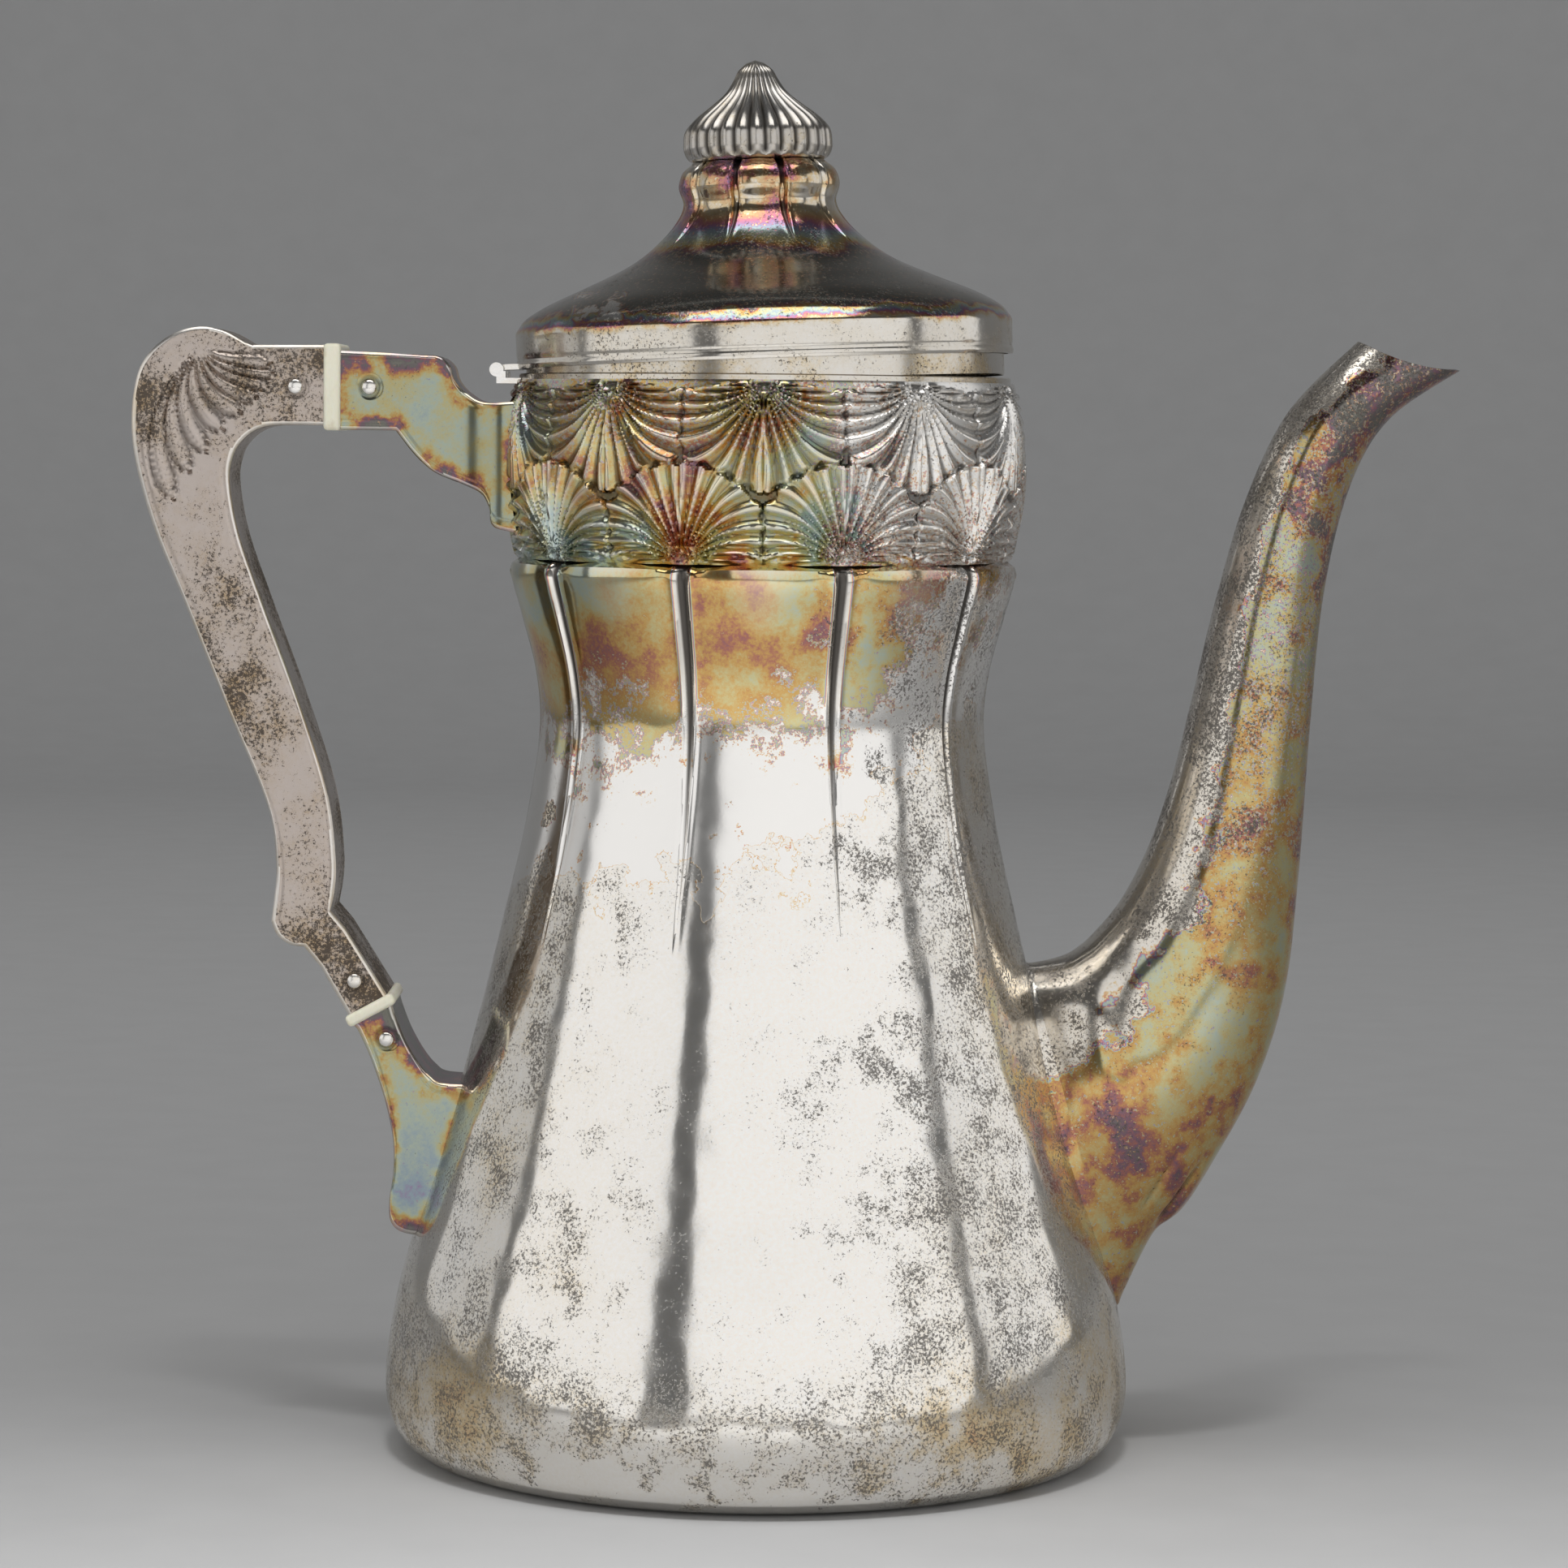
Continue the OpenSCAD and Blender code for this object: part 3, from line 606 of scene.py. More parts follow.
# %% One fan's relief
def fan(aside, away, reach, spacing, bend):
    """Rib height 0 to 1, the distance inside the fan's scalloped edge, and the distance from
    its root, in millimetres."""
    far = np.hypot(aside, away)
    angle = np.degrees(np.arctan2(np.abs(aside), away))
    angle = angle * (1 + bend * (1 - np.clip(far / reach, 0, 1)))
    count = angle / spacing + 0.10 * np.sin(0.09 * angle + 0.35 * far)
    part = np.mod(count + 0.35, 1)
    rib = 0.5 - 0.5 * np.cos(2 * np.pi * part)
    inside = reach - 0.5 * (1 - rib) - far
    return rib, inside, far


# %% One division of the frieze
LOW_ROOT, TOP_ROOT, HALF_FAN = 148.2, 177.1, 13.3
GROUND = -0.64


def fans(arc, z):
    aside = arc * HALF_FAN / (pot_radius(z) * HALF)
    wobble = 0.16 * np.sin(2.1 * z + 1.3 * aside) + 0.12 * np.sin(3.7 * aside - z)
    low_rib, low_in, low_far = fan(aside, z - LOW_ROOT, 16.2, 13.0, 0.5)
    shifted = HALF_FAN - np.abs(aside)
    top_rib, top_in, top_far = fan(shifted, TOP_ROOT - z, 17.9, 13.6, 0.6)
    low_seam = np.exp(-(((shifted + wobble) / 0.3) ** 2))
    top_seam = np.exp(-(((aside + wobble) / 0.3) ** 2))
    low = (-0.40 + 0.90 * low_rib * soft_step(low_far, 0.3, 2.4)
           + 0.14 * soft_step(low_far, 2, 12) - 0.45 * low_seam)
    top = (-0.46 + 0.90 * top_rib * soft_step(top_far, 0.3, 2.4)
           + 0.10 * soft_step(top_far, 2, 14) - 0.4 * top_seam)
    on_top = soft_step(top_in + wobble, 0.0, 0.4)
    height = GROUND + (top - GROUND) * on_top
    on_low = soft_step(low_in + wobble, 0.0, 0.35)
    cut = -0.42 * np.exp(-(((low_in + wobble + 0.2) / 0.32) ** 2))
    height = (height + cut * on_top) * (1 - on_low) + low * on_low
    swag = 176.8 - 1.3 * np.sin(np.clip(shifted / HALF_FAN, 0, 1) * math.pi / 2) ** 2
    plain = soft_step(z, swag - 0.1, swag + 0.35)
    height = height * (1 - plain) + 0.10 * plain
    foot = 148.9 - 0.5 * np.exp(-((aside / 2.2) ** 2))
    bead = 0.22 * np.exp(-(((z - foot) / 0.4) ** 2))
    below = soft_step(z, foot + 0.5, foot - 0.1)
    return (height * (1 - 0.85 * below) + bead) * soft_step(177.5 - z, 0, 0.4)


rows = spaced(FRIEZE, 99)
inner = spaced((FRIEZE - np.array([SHEET + 0.15, 0]))[::-1], 6)
frieze = slice_of("fan_frieze", rows, inner, np.linspace(-HALF, HALF, 89), fans)
repeated(frieze, DIVISIONS, frieze_silver)
settle(frieze, "pot", "frieze_silver", "neck_frieze")


# %% [markdown]
# ## Lid and finial
# Everything on the lid is worked closed and then turned a little open about the hinge pin, as the
# CAD part is stored. The collar under the finial has ten lobes, split by channels that run down
# on to the dome. The finial is an onion with 28 sharp flutes, solid, so its slice ends on the
# axis at both ends.

# %% Turn the lid as stored
HINGE_X, HINGE_Z, AJAR = -43.9, 178.9, math.radians(2.4)


def as_stored(piece):
    """Turns the piece's own vertices about the hinge pin, so its object stays unturned."""
    p = np.empty(len(piece.data.vertices) * 3)
    piece.data.vertices.foreach_get("co", p)
    p = p.reshape(-1, 3)
    x, z = p[:, 0] - HINGE_X * MM, p[:, 2] - HINGE_Z * MM
    p[:, 0] = HINGE_X * MM + x * math.cos(AJAR) - z * math.sin(AJAR)
    p[:, 2] = HINGE_Z * MM + x * math.sin(AJAR) + z * math.cos(AJAR)
    piece.data.vertices.foreach_set("co", p.ravel())
    piece.data.update()


# %% Relief of one lobe, and the lid
def lobe(arc, z):
    t = soft_step(z, 196.0, 204.0)
    half = 0.15 + 0.5 * t
    channel = -0.55 * t * np.clip(1 - (np.abs(arc) / half) ** 2, 0, 1)
    lips = 0.2 * t * np.exp(-(((np.abs(arc) - half - 0.2) / 0.3) ** 2))
    middle = np.clip((np.abs(arc) - 4.0) / 4.0, -1, 1)
    swell = 0.56 * soft_step(z, 203, 208) * np.cos(middle * math.pi / 2) ** 0.7
    roll = -0.5 * soft_step(z, 209.6, 211.6)
    bead = 0.16 * np.exp(-(((z - 179.5) / 0.35) ** 2))
    groove = -0.12 * np.exp(-(((z - 180.3) / 0.3) ** 2))
    step = 0.14 * np.exp(-(((z - 184.6) / 0.5) ** 2))
    return channel + lips + swell + roll + bead + groove + step


rows = np.vstack([spaced(LID[LID[:, 1] < 196.5], 84)[:-1], spaced(LID[LID[:, 1] >= 196], 56)])
inner = np.array([(r - 0.5, z - 0.62) for r, z in LID if 186 < z < 209])[::-1]
inner = np.vstack([[(0, 211.6)], [(0, 210.8)], [(10, 210.8)], spaced(inner, 40),
                   [(40.1, 184), (40.1, 178.9)]])
share = np.linspace(-1, 1, 33)
lid = slice_of("lobed_lid", rows, inner, HALF * (0.4 * share + 0.6 * share**3), lobe)
repeated(lid, DIVISIONS, lid_silver)
as_stored(lid)
settle(lid, "lid", "lid_silver", "lid_shell")


# %% Relief of one finial flute, and the finial
def gadroon(arc, z):
    radius = np.interp(z, FINIAL[:, 1], FINIAL[:, 0])
    share = np.abs(arc) / np.maximum(radius * math.pi / GADROONS, 1e-6)
    ridge = 1 - np.clip(share, 0, 1) ** 1.5
    depth = np.minimum(0.62, radius * 0.075)
    fade = soft_step(z, 211.9, 212.9) * soft_step(z, 227.9, 226.0)
    return (ridge - 0.75) * depth * fade


finial_rows = np.vstack([[(0, 205.6), (2, 205.6), (2, 211.5)], spaced(FINIAL, 74)])
angles = np.linspace(-1, 1, 11) * math.pi / GADROONS
finial = slice_of("onion_finial", finial_rows, [], angles, gadroon)
repeated(finial, GADROONS, finial_silver)
as_stored(finial)
settle(finial, "lid", "finial_silver", "finial")


# %% [markdown]
# ## The spout
# The spout is raised from one sheet, wide where it meets the belly and narrow at the cut lip. It
# is a loft: each ring is an ellipse whose long axis joins the upper and the lower outline. The
# first ring lies on the pot, where solder fills the corner, and a chased chin marks the lower
# edge just above the belly.

# %% Rings of the spout
STATIONS = 260
UPPER = curve([(44.5, 81.2), (50.2, 82.6), (53, 84.2), (55.6, 86.6), (60.1, 92.3), (64.6, 101.5),
               (68.1, 112.4), (71.4, 126.4), (75, 142.4), (79.7, 158.9), (86.6, 173.5),
               (97.7, 184.9)])
LOWER = curve([(60.4, 24.3), (66.1, 36.3), (70.8, 40.4), (75.2, 47.2), (82.7, 61.4), (87.4, 77),
               (89.4, 96.5), (90.9, 121.5), (92.8, 143.5), (96.7, 160.8), (103, 172.1),
               (114.6, 180.3)])
WIDTH = curve([(s * 13.5, 0) for s in
               (0.86, 0.98, 1, 1, 0.93, 0.85, 0.78, 0.7, 0.64, 0.6, 0.53, 0.415)])[:, 0]


def rings(inset, count, sides=144):
    """Rings of the spout, inset by a sheet for its inner wall."""
    t = np.linspace(0, 1, count) ** 1.12 * (len(UPPER) - 1)
    steps = np.arange(len(UPPER))
    up, low = (np.column_stack([np.interp(t, steps, c) for c in line.T])
               for line in (UPPER, LOWER))
    wide = np.interp(t, steps, WIDTH)[:, None] - inset
    length = np.linalg.norm(up - low, axis=1)[:, None]
    lean = (up - low) / length
    turn = np.linspace(0, 2 * math.pi, sides, endpoint=False)[None, :]
    half = length / 2 - inset
    x = (up + low)[:, :1] / 2 + lean[:, :1] * half * np.cos(turn)
    z = (up + low)[:, 1:] / 2 + lean[:, 1:] * half * np.cos(turn)
    y = wide * np.sin(turn)
    dip = 1.2 * soft_step(t, len(UPPER) - 9, len(UPPER) - 1)[:, None] * np.sin(turn) ** 2
    x, z = x - dip * lean[:, 1:], z - dip * np.abs(lean[:, :1])
    x[0] = np.sqrt(pot_radius(z[0]) ** 2 - y[0] ** 2) - 0.3
    return np.stack([x, y, z], -1)


# %% The outer wall and its normals
outer = rings(0, STATIONS)
centre = outer.mean(axis=1, keepdims=True)
around = np.roll(outer, -1, 1) - np.roll(outer, 1, 1)
normal = np.cross(around, np.gradient(outer, axis=0))
normal /= np.linalg.norm(normal, axis=2)[..., None] + 1e-9
normal *= np.sign(((outer - centre) * normal).sum(-1).mean())
print("spout lip is", round(float(outer[-1, :, 1].max() * 2), 1), "mm wide")


# %% Solder, chin and the spout itself
def near_line(p, a, b):
    """Signed distance from the line a to b in the side view, and the share of the way along."""
    a, b = np.array(a), np.array(b)
    way = (b - a) / np.linalg.norm(b - a)
    d = p[..., [0, 2]] - a
    return d @ np.array([-way[1], way[0]]), d @ way / np.linalg.norm(b - a)


gap = np.linalg.norm(outer - outer[:1], axis=2)
push = 0.55 * np.exp(-gap / 0.55)
for a, b, deep in (((63.9, 42.0), (70.2, 52.9), 0.4), ((66.6, 38.6), (74.2, 50.2), 0.5)):
    off, share = near_line(outer, a, b)
    ends = soft_step(share, -0.15, 0.15) * soft_step(share, 1.2, 0.6)
    push -= deep * ends * np.exp(-((off / 0.55) ** 2))
    push += 0.45 * deep * ends * np.exp(-(((off + 1.1) / 0.7) ** 2))
inner = rings(SHEET, 60)[::-1]
plain = np.zeros(inner.shape[:2])
across = (outer - centre)[..., 0]
upper_side = np.clip(-across / np.abs(across).max(axis=1, keepdims=True), 0, 1)
# Only the chin's sunk creases go into relief, so the finish darkens them: painted shade in the
# creases, and dirt.
spout = net("raised_spout", np.concatenate([outer + push[..., None] * normal, inner]),
            True, True, relief=np.vstack([0.6 * np.minimum(push, 0), plain]),
            edge=np.vstack([upper_side, plain]))
mend(spout.data)
spout.data.materials.append(spout_silver)
settle(spout, "pot", "spout_silver", "spout")


# %% [markdown]
# ## Plates of the hollow handle
# The handle is a box: a front and a back plate cut from sheet, joined by edge strips. The strips
# stay as the CAD part has them, and the plates are made again with a filed bevel, a sunk ring
# round each pin and, on the head of the grip, the chased fan. A plate is a band between two side
# outlines, so its net runs along the band and across it.

# %% Side outlines of grip and sockets, x and z, cut into matching stretches
UPPER_SPOT, UPPER_LEAN = (-70.7, 175.8), math.radians(90)
LOWER_SPOT, LOWER_LEAN = (-64.1, 73.4), math.radians(28.7)


def on_cut(u, w, spot=LOWER_SPOT, lean=LOWER_LEAN):
    """A spot in an insulator's own directions: u across the handle, w along it."""
    return (spot[0] + u * math.cos(lean) - w * math.sin(lean),
            spot[1] + u * math.sin(lean) + w * math.cos(lean))


head_out = curve([(-84.8, 182.9), (-88.4, 184.8), (-92.4, 185.4), (-96.8, 184.2),
                  (-100.6, 181.1), (-102.7, 177), (-103.5, 170), (-102.7, 162.5),
                  (-99.7, 152.1), (-94.8, 140.3), (-87.3, 121.9), (-81.2, 107.1),
                  (-79.7, 97.6), (-80.1, 91.1)])
head_in = curve([(-72.1, 169.5), (-79.3, 169.5), (-82.7, 168.9), (-85.3, 167.1),
                 (-86.9, 164.4), (-87.4, 160), (-85.9, 151.6), (-82.1, 140.7),
                 (-76.2, 124.7), (-71.4, 109.6), (-69.9, 98), (-70.2, 92.4)])
spur = curve([(-80.5, 87.8), (-79.4, 85.5), (-77.3, 84.1), (-75.1, 83.8)])
GRIP = [
    ([(-72.1, 182.6), (-83.8, 182.5)], head_in[:13], 34),
    (head_out[:49], head_in[12:37], 84),
    (head_out[48:97], head_in[36:61], 92),
    (head_out[96:133], head_in[60:97], 110),
    (head_out[132:], head_in[96:], 90),
    (np.vstack([head_out[-1:], spur]), [(-70.2, 92.4), (-70.7, 89.8)], 34),
    ([(-75.1, 83.8), (-72.3, 80.4)], [(-70.7, 89.8), (-68.3, 87)], 14),
    ([(-72.3, 80.4), on_cut(-3.6, 1)], [(-68.3, 87), on_cut(3.6, 1)], 22),
]
UPPER_SOCKET = [
    ([(-69.3, 181.7), (-53.8, 181.1)], [(-69.3, 168.8), (-60.3, 168.8)], 46),
    (curve([(-53.8, 181.1), (-52.6, 180.6), (-51.4, 179.3), (-50.6, 177), (-48.6, 174.9),
            (-45.2, 173.5), (-36.5, 174)]),
     curve([(-60.3, 168.8), (-57.2, 164.9), (-53.9, 162), (-49.3, 160.1), (-46.3, 158.6),
            (-44.9, 156.2), (-43.9, 153.1), (-36.5, 151.8)]), 90),
]
LOWER_SOCKET = [
    (np.vstack([[on_cut(-3.6, -1)], curve([
        (-66.2, 70.1), (-64, 65.2), (-61.7, 58.5), (-60.3, 51.7), (-60.3, 46.2), (-60.9, 41.7),
        (-60.6, 38.1), (-58.3, 36.3), (-52.8, 35.8)])]),
     np.vstack([[on_cut(3.6, -1)], curve([
         (-60.1, 72.9), (-58.6, 69), (-56.5, 65.2), (-54.4, 62.6), (-52, 61.3),
         (-44.6, 61.1)])]), 130),
]
PINS_UP = [(-76.7, 175.8), (-64.6, 175.8)]
PINS_LOW = [on_cut(0, 5.5), on_cut(0, -5.5)]
HALF_BREADTH = 8.2
finger_gap = -head_in[:, 0].max() - BODY[:, 0].min()
print("finger gap at its narrowest:", round(float(finger_gap), 1), "mm")


# %% The band's net, trimmed by the pot
def band(stretches, across, trim, y):
    """Points of a band, along it and across it, cut off just inside the pot's wall."""
    edges = [(spaced(a, n), spaced(b, n)) for a, b, n in stretches]
    a = np.vstack([e[0][(i > 0):] for i, e in enumerate(edges)])
    b = np.vstack([e[1][(i > 0):] for i, e in enumerate(edges)])
    grid = a[:, None] * (1 - across[None, :, None]) + b[:, None] * across[None, :, None]
    if trim:
        for k in range(len(across)):
            line = grid[:, k]
            wall = -np.sqrt((pot_radius(line[:, 1]) - 0.35) ** 2 - y * y)
            past = np.nonzero(line[:, 0] > wall)[0]
            if len(past):
                i = past[0]
                d0, d1 = wall[i - 1] - line[i - 1, 0], line[i, 0] - wall[i]
                end = line[i - 1] + (line[i] - line[i - 1]) * d0 / (d0 + d1 + 1e-12)
                grid[:, k] = spaced(np.vstack([line[:i], end]), len(line))
    return grid


# %% [markdown]
# The chased fan on the grip's head has its root near the top of the head. Its ribs leave the root
# downwards and bend towards the hand, the longest on the outer side. Each rib has a middle line,
# a curve with one bend. A spot's height comes from its nearest line, and the groove lies where
# the two nearest lines are equally far.

# %% Relief of the grip's fan
# Bends and ends are measured from the root, to the right and downwards.
FAN_ROOT = (-92.0, 181.9)
RIB_ENDS = [(-4.6, 24.6), (-2.0, 20.2), (0.8, 16.9), (3.6, 13.3), (6.4, 10.4), (9.0, 8.0),
            (10.9, 5.9), (11.8, 4.1), (11.2, 2.4)]
RIB_BENDS = [(-11.9, 11.8), (-9.3, 9.1), (-7.1, 7.6), (-4.5, 7.2), (-2.1, 6.5), (-0.2, 5.6),
             (1.6, 4.8), (2.7, 3.9), (3.8, 2.5)]


WAY = np.linspace(0, 1, 24)[:, None]
RIB_LINES = np.stack([2 * WAY * (1 - WAY) * np.array(bend) + WAY**2 * np.array(end)
                      for bend, end in zip(RIB_BENDS, RIB_ENDS)])
print("the grip's fan has", len(RIB_LINES), "ribs")


def grip_fan(x, z):
    here = np.stack([x - FAN_ROOT[0], FAN_ROOT[1] - z], -1)
    gaps = np.linalg.norm(here[..., None, None, :] - RIB_LINES, axis=-1)
    share = gaps.argmin(-1) / (len(WAY) - 1)
    gaps = gaps.min(-1)
    order = np.argsort(gaps, axis=-1)[..., :2]
    first, second = np.moveaxis(np.take_along_axis(gaps, order, -1), -1, 0)
    share = np.take_along_axis(share, order[..., :1], -1)[..., 0]
    tip = np.sqrt(np.clip(1 - share, 0, 1))
    half = np.minimum((first + second) / 2, np.minimum(0.35 + 1.5 * share, 0.3 + 3.6 * tip))
    off = first / np.maximum(half, 0.3)
    rib = 0.34 - 0.66 * np.clip(off, 0, 1) ** 2.2
    shown = soft_step(off, 1.45, 1.0) * soft_step(np.linalg.norm(here, axis=-1), 0.4, 3.0)
    return shown * rib


# %% Height of a plate's face
def filed(grid, across, pins):
    """Height of the face, from a filed bevel, a line along it and a ring round each pin, and
    the distance from the plate's long edges."""
    width = np.linalg.norm(grid[:, :1] - grid[:, -1:], axis=2)
    rim = np.minimum(across, 1 - across)[None, :] * width
    height = -0.42 * np.clip(1 - rim / 0.75, 0, 1) ** 2
    height += -0.10 * np.exp(-(((rim - 1.15) / 0.28) ** 2))
    for pin_x, pin_z in pins:
        away = np.hypot(grid[..., 0] - pin_x, grid[..., 1] - pin_z)
        height += -0.26 * np.exp(-(((away - 1.55) / 0.42) ** 2))
    return height, rim


def close_ends(mesh, rows, count):
    """Closes the first and the last loop of a tube of rows loops with count points each."""
    bm = bmesh.new()
    bm.from_mesh(mesh)
    bm.verts.ensure_lookup_table()
    for first in (0, (rows - 1) * count):
        for k in range(count // 2 - 1):
            quad = (first + k, first + k + 1, first + count - 2 - k, first + count - 1 - k)
            bm.faces.new([bm.verts[i] for i in quad])
    bm.to_mesh(mesh)
    bm.free()


# %% One plate
BEVEL = np.array([0, 0.12, 0.3, 0.5, 0.8]) / 13
ACROSS = np.r_[BEVEL, np.linspace(0.085, 0.915, 52), 1 - BEVEL[::-1]]


def plate(name, stretches, pins, side, relief, finish, slot, node):
    """A plate on one side of the handle, -1 in front and 1 behind. Without relief it is a
    socket's plate, which ends and flares at the pot's wall."""
    grid = band(stretches, ACROSS, relief is None, HALF_BREADTH)
    x, z = grid[..., 0], grid[..., 1]
    height, rim = filed(grid, ACROSS, pins)
    flare = 0 * x
    if relief:
        height = height + relief(x, z)
    else:
        flare = 1.6 * soft_step(x, -52, -42) ** 2
    face = np.stack([x, side * (HALF_BREADTH + height + flare), z], -1)
    under = np.stack([x, side * (HALF_BREADTH - SHEET + flare), z], -1)
    loop = np.concatenate([face, under[:, ::-1]], axis=1)
    # The filed rim gets full relief, so the finish paints it pale: a painted highlight along the
    # bevel, and rubbed metal.
    edge_rub_and_highlight = np.where(rim < 0.72, 1.0, height)
    steps = np.arange(len(grid))
    ends = 0.4 * np.minimum(steps, steps[::-1])[:, None]
    near = soft_step(np.minimum(rim, 1.4 + ends), 5.5, 0.8)
    flat = np.zeros_like(x)
    piece = net(name, loop, round_columns=True, relief=np.hstack([edge_rub_and_highlight, flat]),
                edge=np.hstack([near, flat]))
    close_ends(piece.data, len(loop), loop.shape[1])
    mend(piece.data)
    piece.data.materials.append(finish)
    settle(piece, "pot", slot, node)


for label, side in (("front", -1), ("back", 1)):
    plate(f"filed_grip_{label}", GRIP, [PINS_UP[0], PINS_LOW[0]], side, grip_fan,
          grip_silver, "grip_silver", f"grip_{label}_plate")
    plate(f"filed_upper_socket_{label}", UPPER_SOCKET, [PINS_UP[1]], side, None,
          socket_silver, "socket_silver", f"upper_socket_{label}_plate")
    plate(f"filed_lower_socket_{label}", LOWER_SOCKET, [PINS_LOW[1]], side, None,
          socket_silver, "socket_silver", f"lower_socket_{label}_plate")


# %% [markdown]
# ## Insulators
# Each insulator is a flange between two silver ends with a tenon into each. Three bevelled blocks
# make it, the flange's edges well rounded because it stands proud where fingers meet it.

# %% Blocks with rounded edges
FLANGE_BREADTH, TENON_BREADTH, OVERLAP = 8.8, 7.3, 0.2


def block(bm, u, y, w, spot, lean, radius, segments):
    """Adds a rounded block with limits u across the handle, w along it, and y to both sides."""
    cube = bmesh.ops.create_cube(bm, size=1.0)["verts"]
    for v in cube:
        x, z = on_cut(u[v.co.x > 0], w[v.co.z > 0], spot, lean)
        v.co = (x * MM, 2 * y * v.co.y * MM, z * MM)
    edges = list({e for v in cube for e in v.link_edges})
    bmesh.ops.bevel(bm, geom=edges, offset=radius * MM, segments=segments, profile=0.5,
                    affect="EDGES")


def insulator(name, half_u, half_w, tenon_u, tenon_w, spot, lean):
    mesh = bpy.data.meshes.new(f"rounded_{name}")
    bm = bmesh.new()
    block(bm, (-half_u, half_u), FLANGE_BREADTH, (-half_w, half_w), spot, lean, 0.7, 6)
    for sign in (-1, 1):
        ends = sorted((sign * (half_w - OVERLAP), sign * (half_w + tenon_w)))
        block(bm, tenon_u, TENON_BREADTH, ends, spot, lean, 0.15, 2)
    bm.to_mesh(mesh)
    bm.free()
    mend(mesh, sharp=50)
    piece = bpy.data.objects.new(mesh.name, mesh)
    bpy.context.collection.objects.link(piece)
    mesh.materials.append(insulator_pale)
    settle(piece, "pot", "insulator", name)


insulator("upper_insulator", 7.1, 1.4, (-5, 4.6), 8, UPPER_SPOT, UPPER_LEAN)
insulator("lower_insulator", 4.4, 1.0, (-2.3, 1.6), 7.5, LOWER_SPOT, LOWER_LEAN)


# %% [markdown]
# ## Pins
# Four pins hold the tenons. Each is a rod across the handle with a domed, hammered head at both
# ends. One pin is turned as a net, and a tree sets a copy at every place it is given.

# %% The tree that sets pins at places
def pins_tree(pin):
    tree, (places, size, finish) = new_tree("set_pins", places="Geometry", size="Float",
                                            finish="Material")
    shape = add(tree, "GeometryNodeObjectInfo", None, {"Object": pin}, "Geometry")
    copies = add(tree, "GeometryNodeInstanceOnPoints", None,
                 {"Points": places, "Instance": shape, "Scale": size})
    real = add(tree, "GeometryNodeRealizeInstances", None, {0: copies})
    return end_tree(tree, real, finish)


# %% Turn one pin, and set it at its places
def turned(profile, sides):
    """Points of a profile, radius and height, turned about an upright axis."""
    turn = np.linspace(0, 2 * math.pi, sides, endpoint=False)
    return np.stack([np.outer(profile[:, 0], np.cos(turn)),
                     np.outer(profile[:, 0], np.sin(turn)),
                     np.repeat(profile[:, 1:], sides, 1)], -1)


HEAD_RADIUS = 1.25
dome = [(HEAD_RADIUS * math.cos(a), 8.3 + 0.6 * math.sin(a))
        for a in np.linspace(0, math.pi / 2, 8)]
half_pin = [(1.0, 7.9), (HEAD_RADIUS, 8.0), *dome]
profile = np.array([(r, -h) for r, h in half_pin[::-1]] + half_pin)
one_pin = net("one_pin", turned(profile, 28)[..., [0, 2, 1]], False, True)
PINS = pins_tree(one_pin)
for name, places in (("upper_handle_pins", PINS_UP), ("lower_handle_pins", PINS_LOW)):
    mesh = bpy.data.meshes.new(name)
    mesh.from_pydata([(px * MM, 0, pz * MM) for px, pz in places], [], [])
    pins = bpy.data.objects.new(f"domed_{name}", mesh)
    bpy.context.collection.objects.link(pins)
    run_tree(pins, PINS, size=1.0, finish=pin_silver)
    settle(pins, "pot", "pin_silver", name)
bpy.data.objects.remove(one_pin)


# %% [markdown]
# ## Nodes that stay as they are
# Rings, strips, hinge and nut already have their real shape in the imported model, so they keep
# their meshes and only take a finish.

# %% Finishes for the kept nodes
KEPT = {
    "mouth_rim": rim_silver, "base_disc": body_silver, "lid_bezel": rim_silver,
    "finial_nut": pin_silver, "hinge_body_leaf": pin_silver, "hinge_lid_leaf": pin_silver,
    "hinge_pin": pin_silver, "grip_outer_strip": grip_silver, "grip_inner_strip": grip_silver,
    "upper_socket_top_strip": strip_silver, "upper_socket_bottom_strip": strip_silver,
    "lower_socket_outer_strip": strip_silver, "lower_socket_inner_strip": strip_silver,
}
for name, finish in KEPT.items():
    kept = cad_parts[name].data
    kept.materials.clear()
    kept.materials.append(finish)
print("kept nodes:", len(KEPT))


# %% [markdown]
# ## Studio
# The pot stands on a pale sweep that curves up all round, so every view has the same plain
# ground. Two tall soft lights stand in front with a dark gap between them, which is what gives
# polished silver its white and its dark stripe. Weaker ones stand at the sides, a wide one hangs
# above, one washes the ground behind, and a spot lights the ground in front, which the waist
# mirrors. Polished metal shows its surroundings, so the lights are placed for what it mirrors.

# %% The sweep
FLAT_TO, BEND, WALL_TOP = 1.5, 0.7, 2.6
sweep_path = [(0.02, 0), (0.3, 0), (0.9, 0), (FLAT_TO, 0)]
sweep_path += [(FLAT_TO + BEND * math.sin(a), BEND - BEND * math.cos(a))
               for a in np.linspace(0.1, math.pi / 2, 14)]
sweep_path += [(FLAT_TO + BEND, WALL_TOP)]
sweep = net("sweep", turned(np.array(sweep_path) / MM, 96), False, True)
bm = bmesh.new()
bm.from_mesh(sweep.data)
bmesh.ops.holes_fill(bm, edges=[e for e in bm.edges if e.is_boundary], sides=200)
for face in list(bm.faces):
    if len(face.verts) > 50 and face.calc_center_median().z > 1:
        bm.faces.remove(face)
    else:
        face.smooth = True
bm.to_mesh(sweep.data)
bm.free()

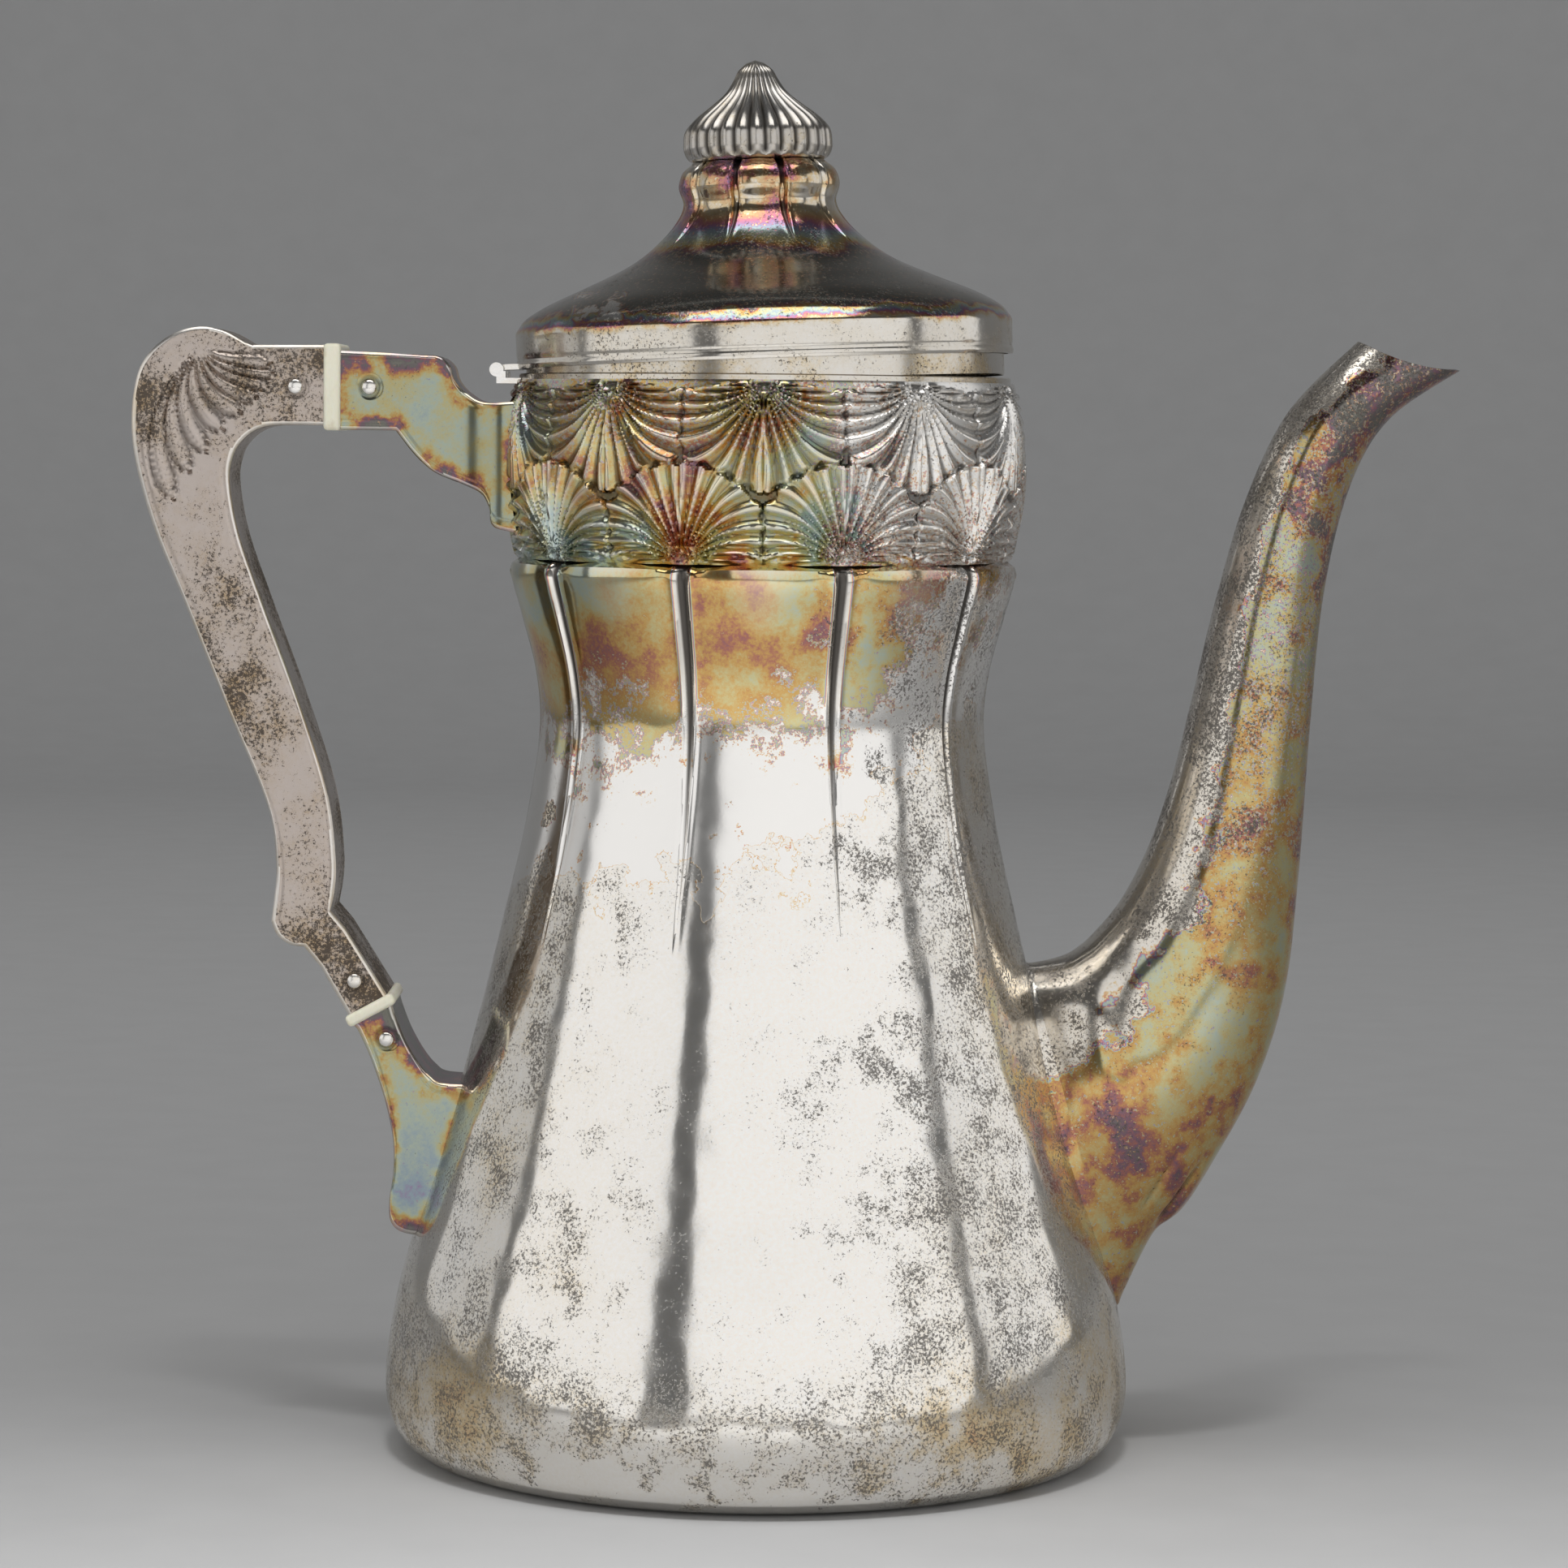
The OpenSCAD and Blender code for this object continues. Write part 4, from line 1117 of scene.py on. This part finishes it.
# %% Its paper
paper, tree, shader, mm = new_material("pale_paper")
fibre = add(tree, "ShaderNodeTexNoise", None, {"Vector": mm, "Scale": 0.06, "Detail": 3.0})
grey = blend(fibre, (0.45, 0.45, 0.45, 1), (0.49, 0.49, 0.49, 1))
tree.links.new(grey.socket, shader.inputs["Base Color"])
shader.inputs["Roughness"].default_value = 0.9
sweep.data.materials.append(paper)
print("sweep:", len(sweep.data.polygons), "faces")


# %% Lights
def soft_light(name, azimuth, distance, height, width, tall, shine, aim=0.12):
    """A rectangular light that looks at the pot. Azimuth 0 is in front, and 90 on the right."""
    lamp = bpy.data.lights.new(name, "AREA")
    lamp.shape = "RECTANGLE"
    lamp.size, lamp.size_y = width, tall
    lamp.energy = shine * math.pi * width * tall
    rig = bpy.data.objects.new(name, lamp)
    a = math.radians(azimuth)
    rig.location = (distance * math.sin(a), -distance * math.cos(a), height)
    way = rig.location.copy()
    way.z -= aim
    rig.rotation_mode = "QUATERNION"
    rig.rotation_quaternion = way.to_track_quat("Z", "Y")
    rig.visible_camera = False
    bpy.context.collection.objects.link(rig)
    return rig


soft_light("right_front", 24.5, 1.25, 0.50, 2.54, 0.95, 0.86, aim=0.4)
soft_light("left_front", -60, 1.25, 0.50, 1.33, 0.95, 0.80, aim=0.4)
soft_light("right_side", 96, 1.3, 0.50, 0.95, 0.9, 0.72, aim=0.4)
soft_light("overhead", 0, 0.35, 1.75, 1.6, 1.0, 2.1)
soft_light("left_side", -112, 1.3, 0.50, 0.9, 0.9, 0.4, aim=0.4)
far_ground = soft_light("far_ground", 180, 0.7, 1.3, 1.6, 0.4, 1.8)
far_ground.rotation_mode, far_ground.rotation_euler = "XYZ", (math.radians(55), 0, 0)


# %% The pool of light on the ground in front, and the dim room
pool = bpy.data.lights.new("foreground", "SPOT")
pool.energy, pool.spot_size, pool.spot_blend = 185.0, math.radians(48), 0.8
pool.shadow_soft_size = 0.15
pool_rig = bpy.data.objects.new("foreground", pool)
pool_rig.location, pool_rig.rotation_euler = (0, -0.75, 1.6), (math.radians(3), 0, 0)
pool_rig.visible_glossy = False
bpy.context.collection.objects.link(pool_rig)
world = bpy.data.worlds.new("studio")
bpy.context.scene.world = world
world.use_nodes = True
room = world.node_tree.nodes["Background"].inputs
room["Color"].default_value, room["Strength"].default_value = (0.80, 0.82, 0.85, 1), 0.12
bpy.context.scene.view_settings.view_transform = "Standard"
print("lights:", len(bpy.data.lights))


# %% [markdown]
# ## Camera
# A long lens from about 80 centimetres shows the pot a little from above with hardly any
# perspective, as a catalogue would. The camera also leans half a degree.

# %% Place the camera
camera = bpy.data.objects.new("camera", bpy.data.cameras.new("camera"))
bpy.context.collection.objects.link(camera)
bpy.context.scene.camera = camera
camera.data.sensor_width, camera.data.lens = 36, 111.19
camera.location = (0.003763, -0.802, 0.16933)
camera.rotation_mode = "XYZ"
pitch, roll = math.radians(4.17), math.radians(0.55)
camera.rotation_euler = (Matrix.Rotation(math.radians(90) - pitch, 3, "X")
                         @ Matrix.Rotation(roll, 3, "Z")).to_euler()
print("camera looks down", round(math.degrees(pitch), 2), "degrees")
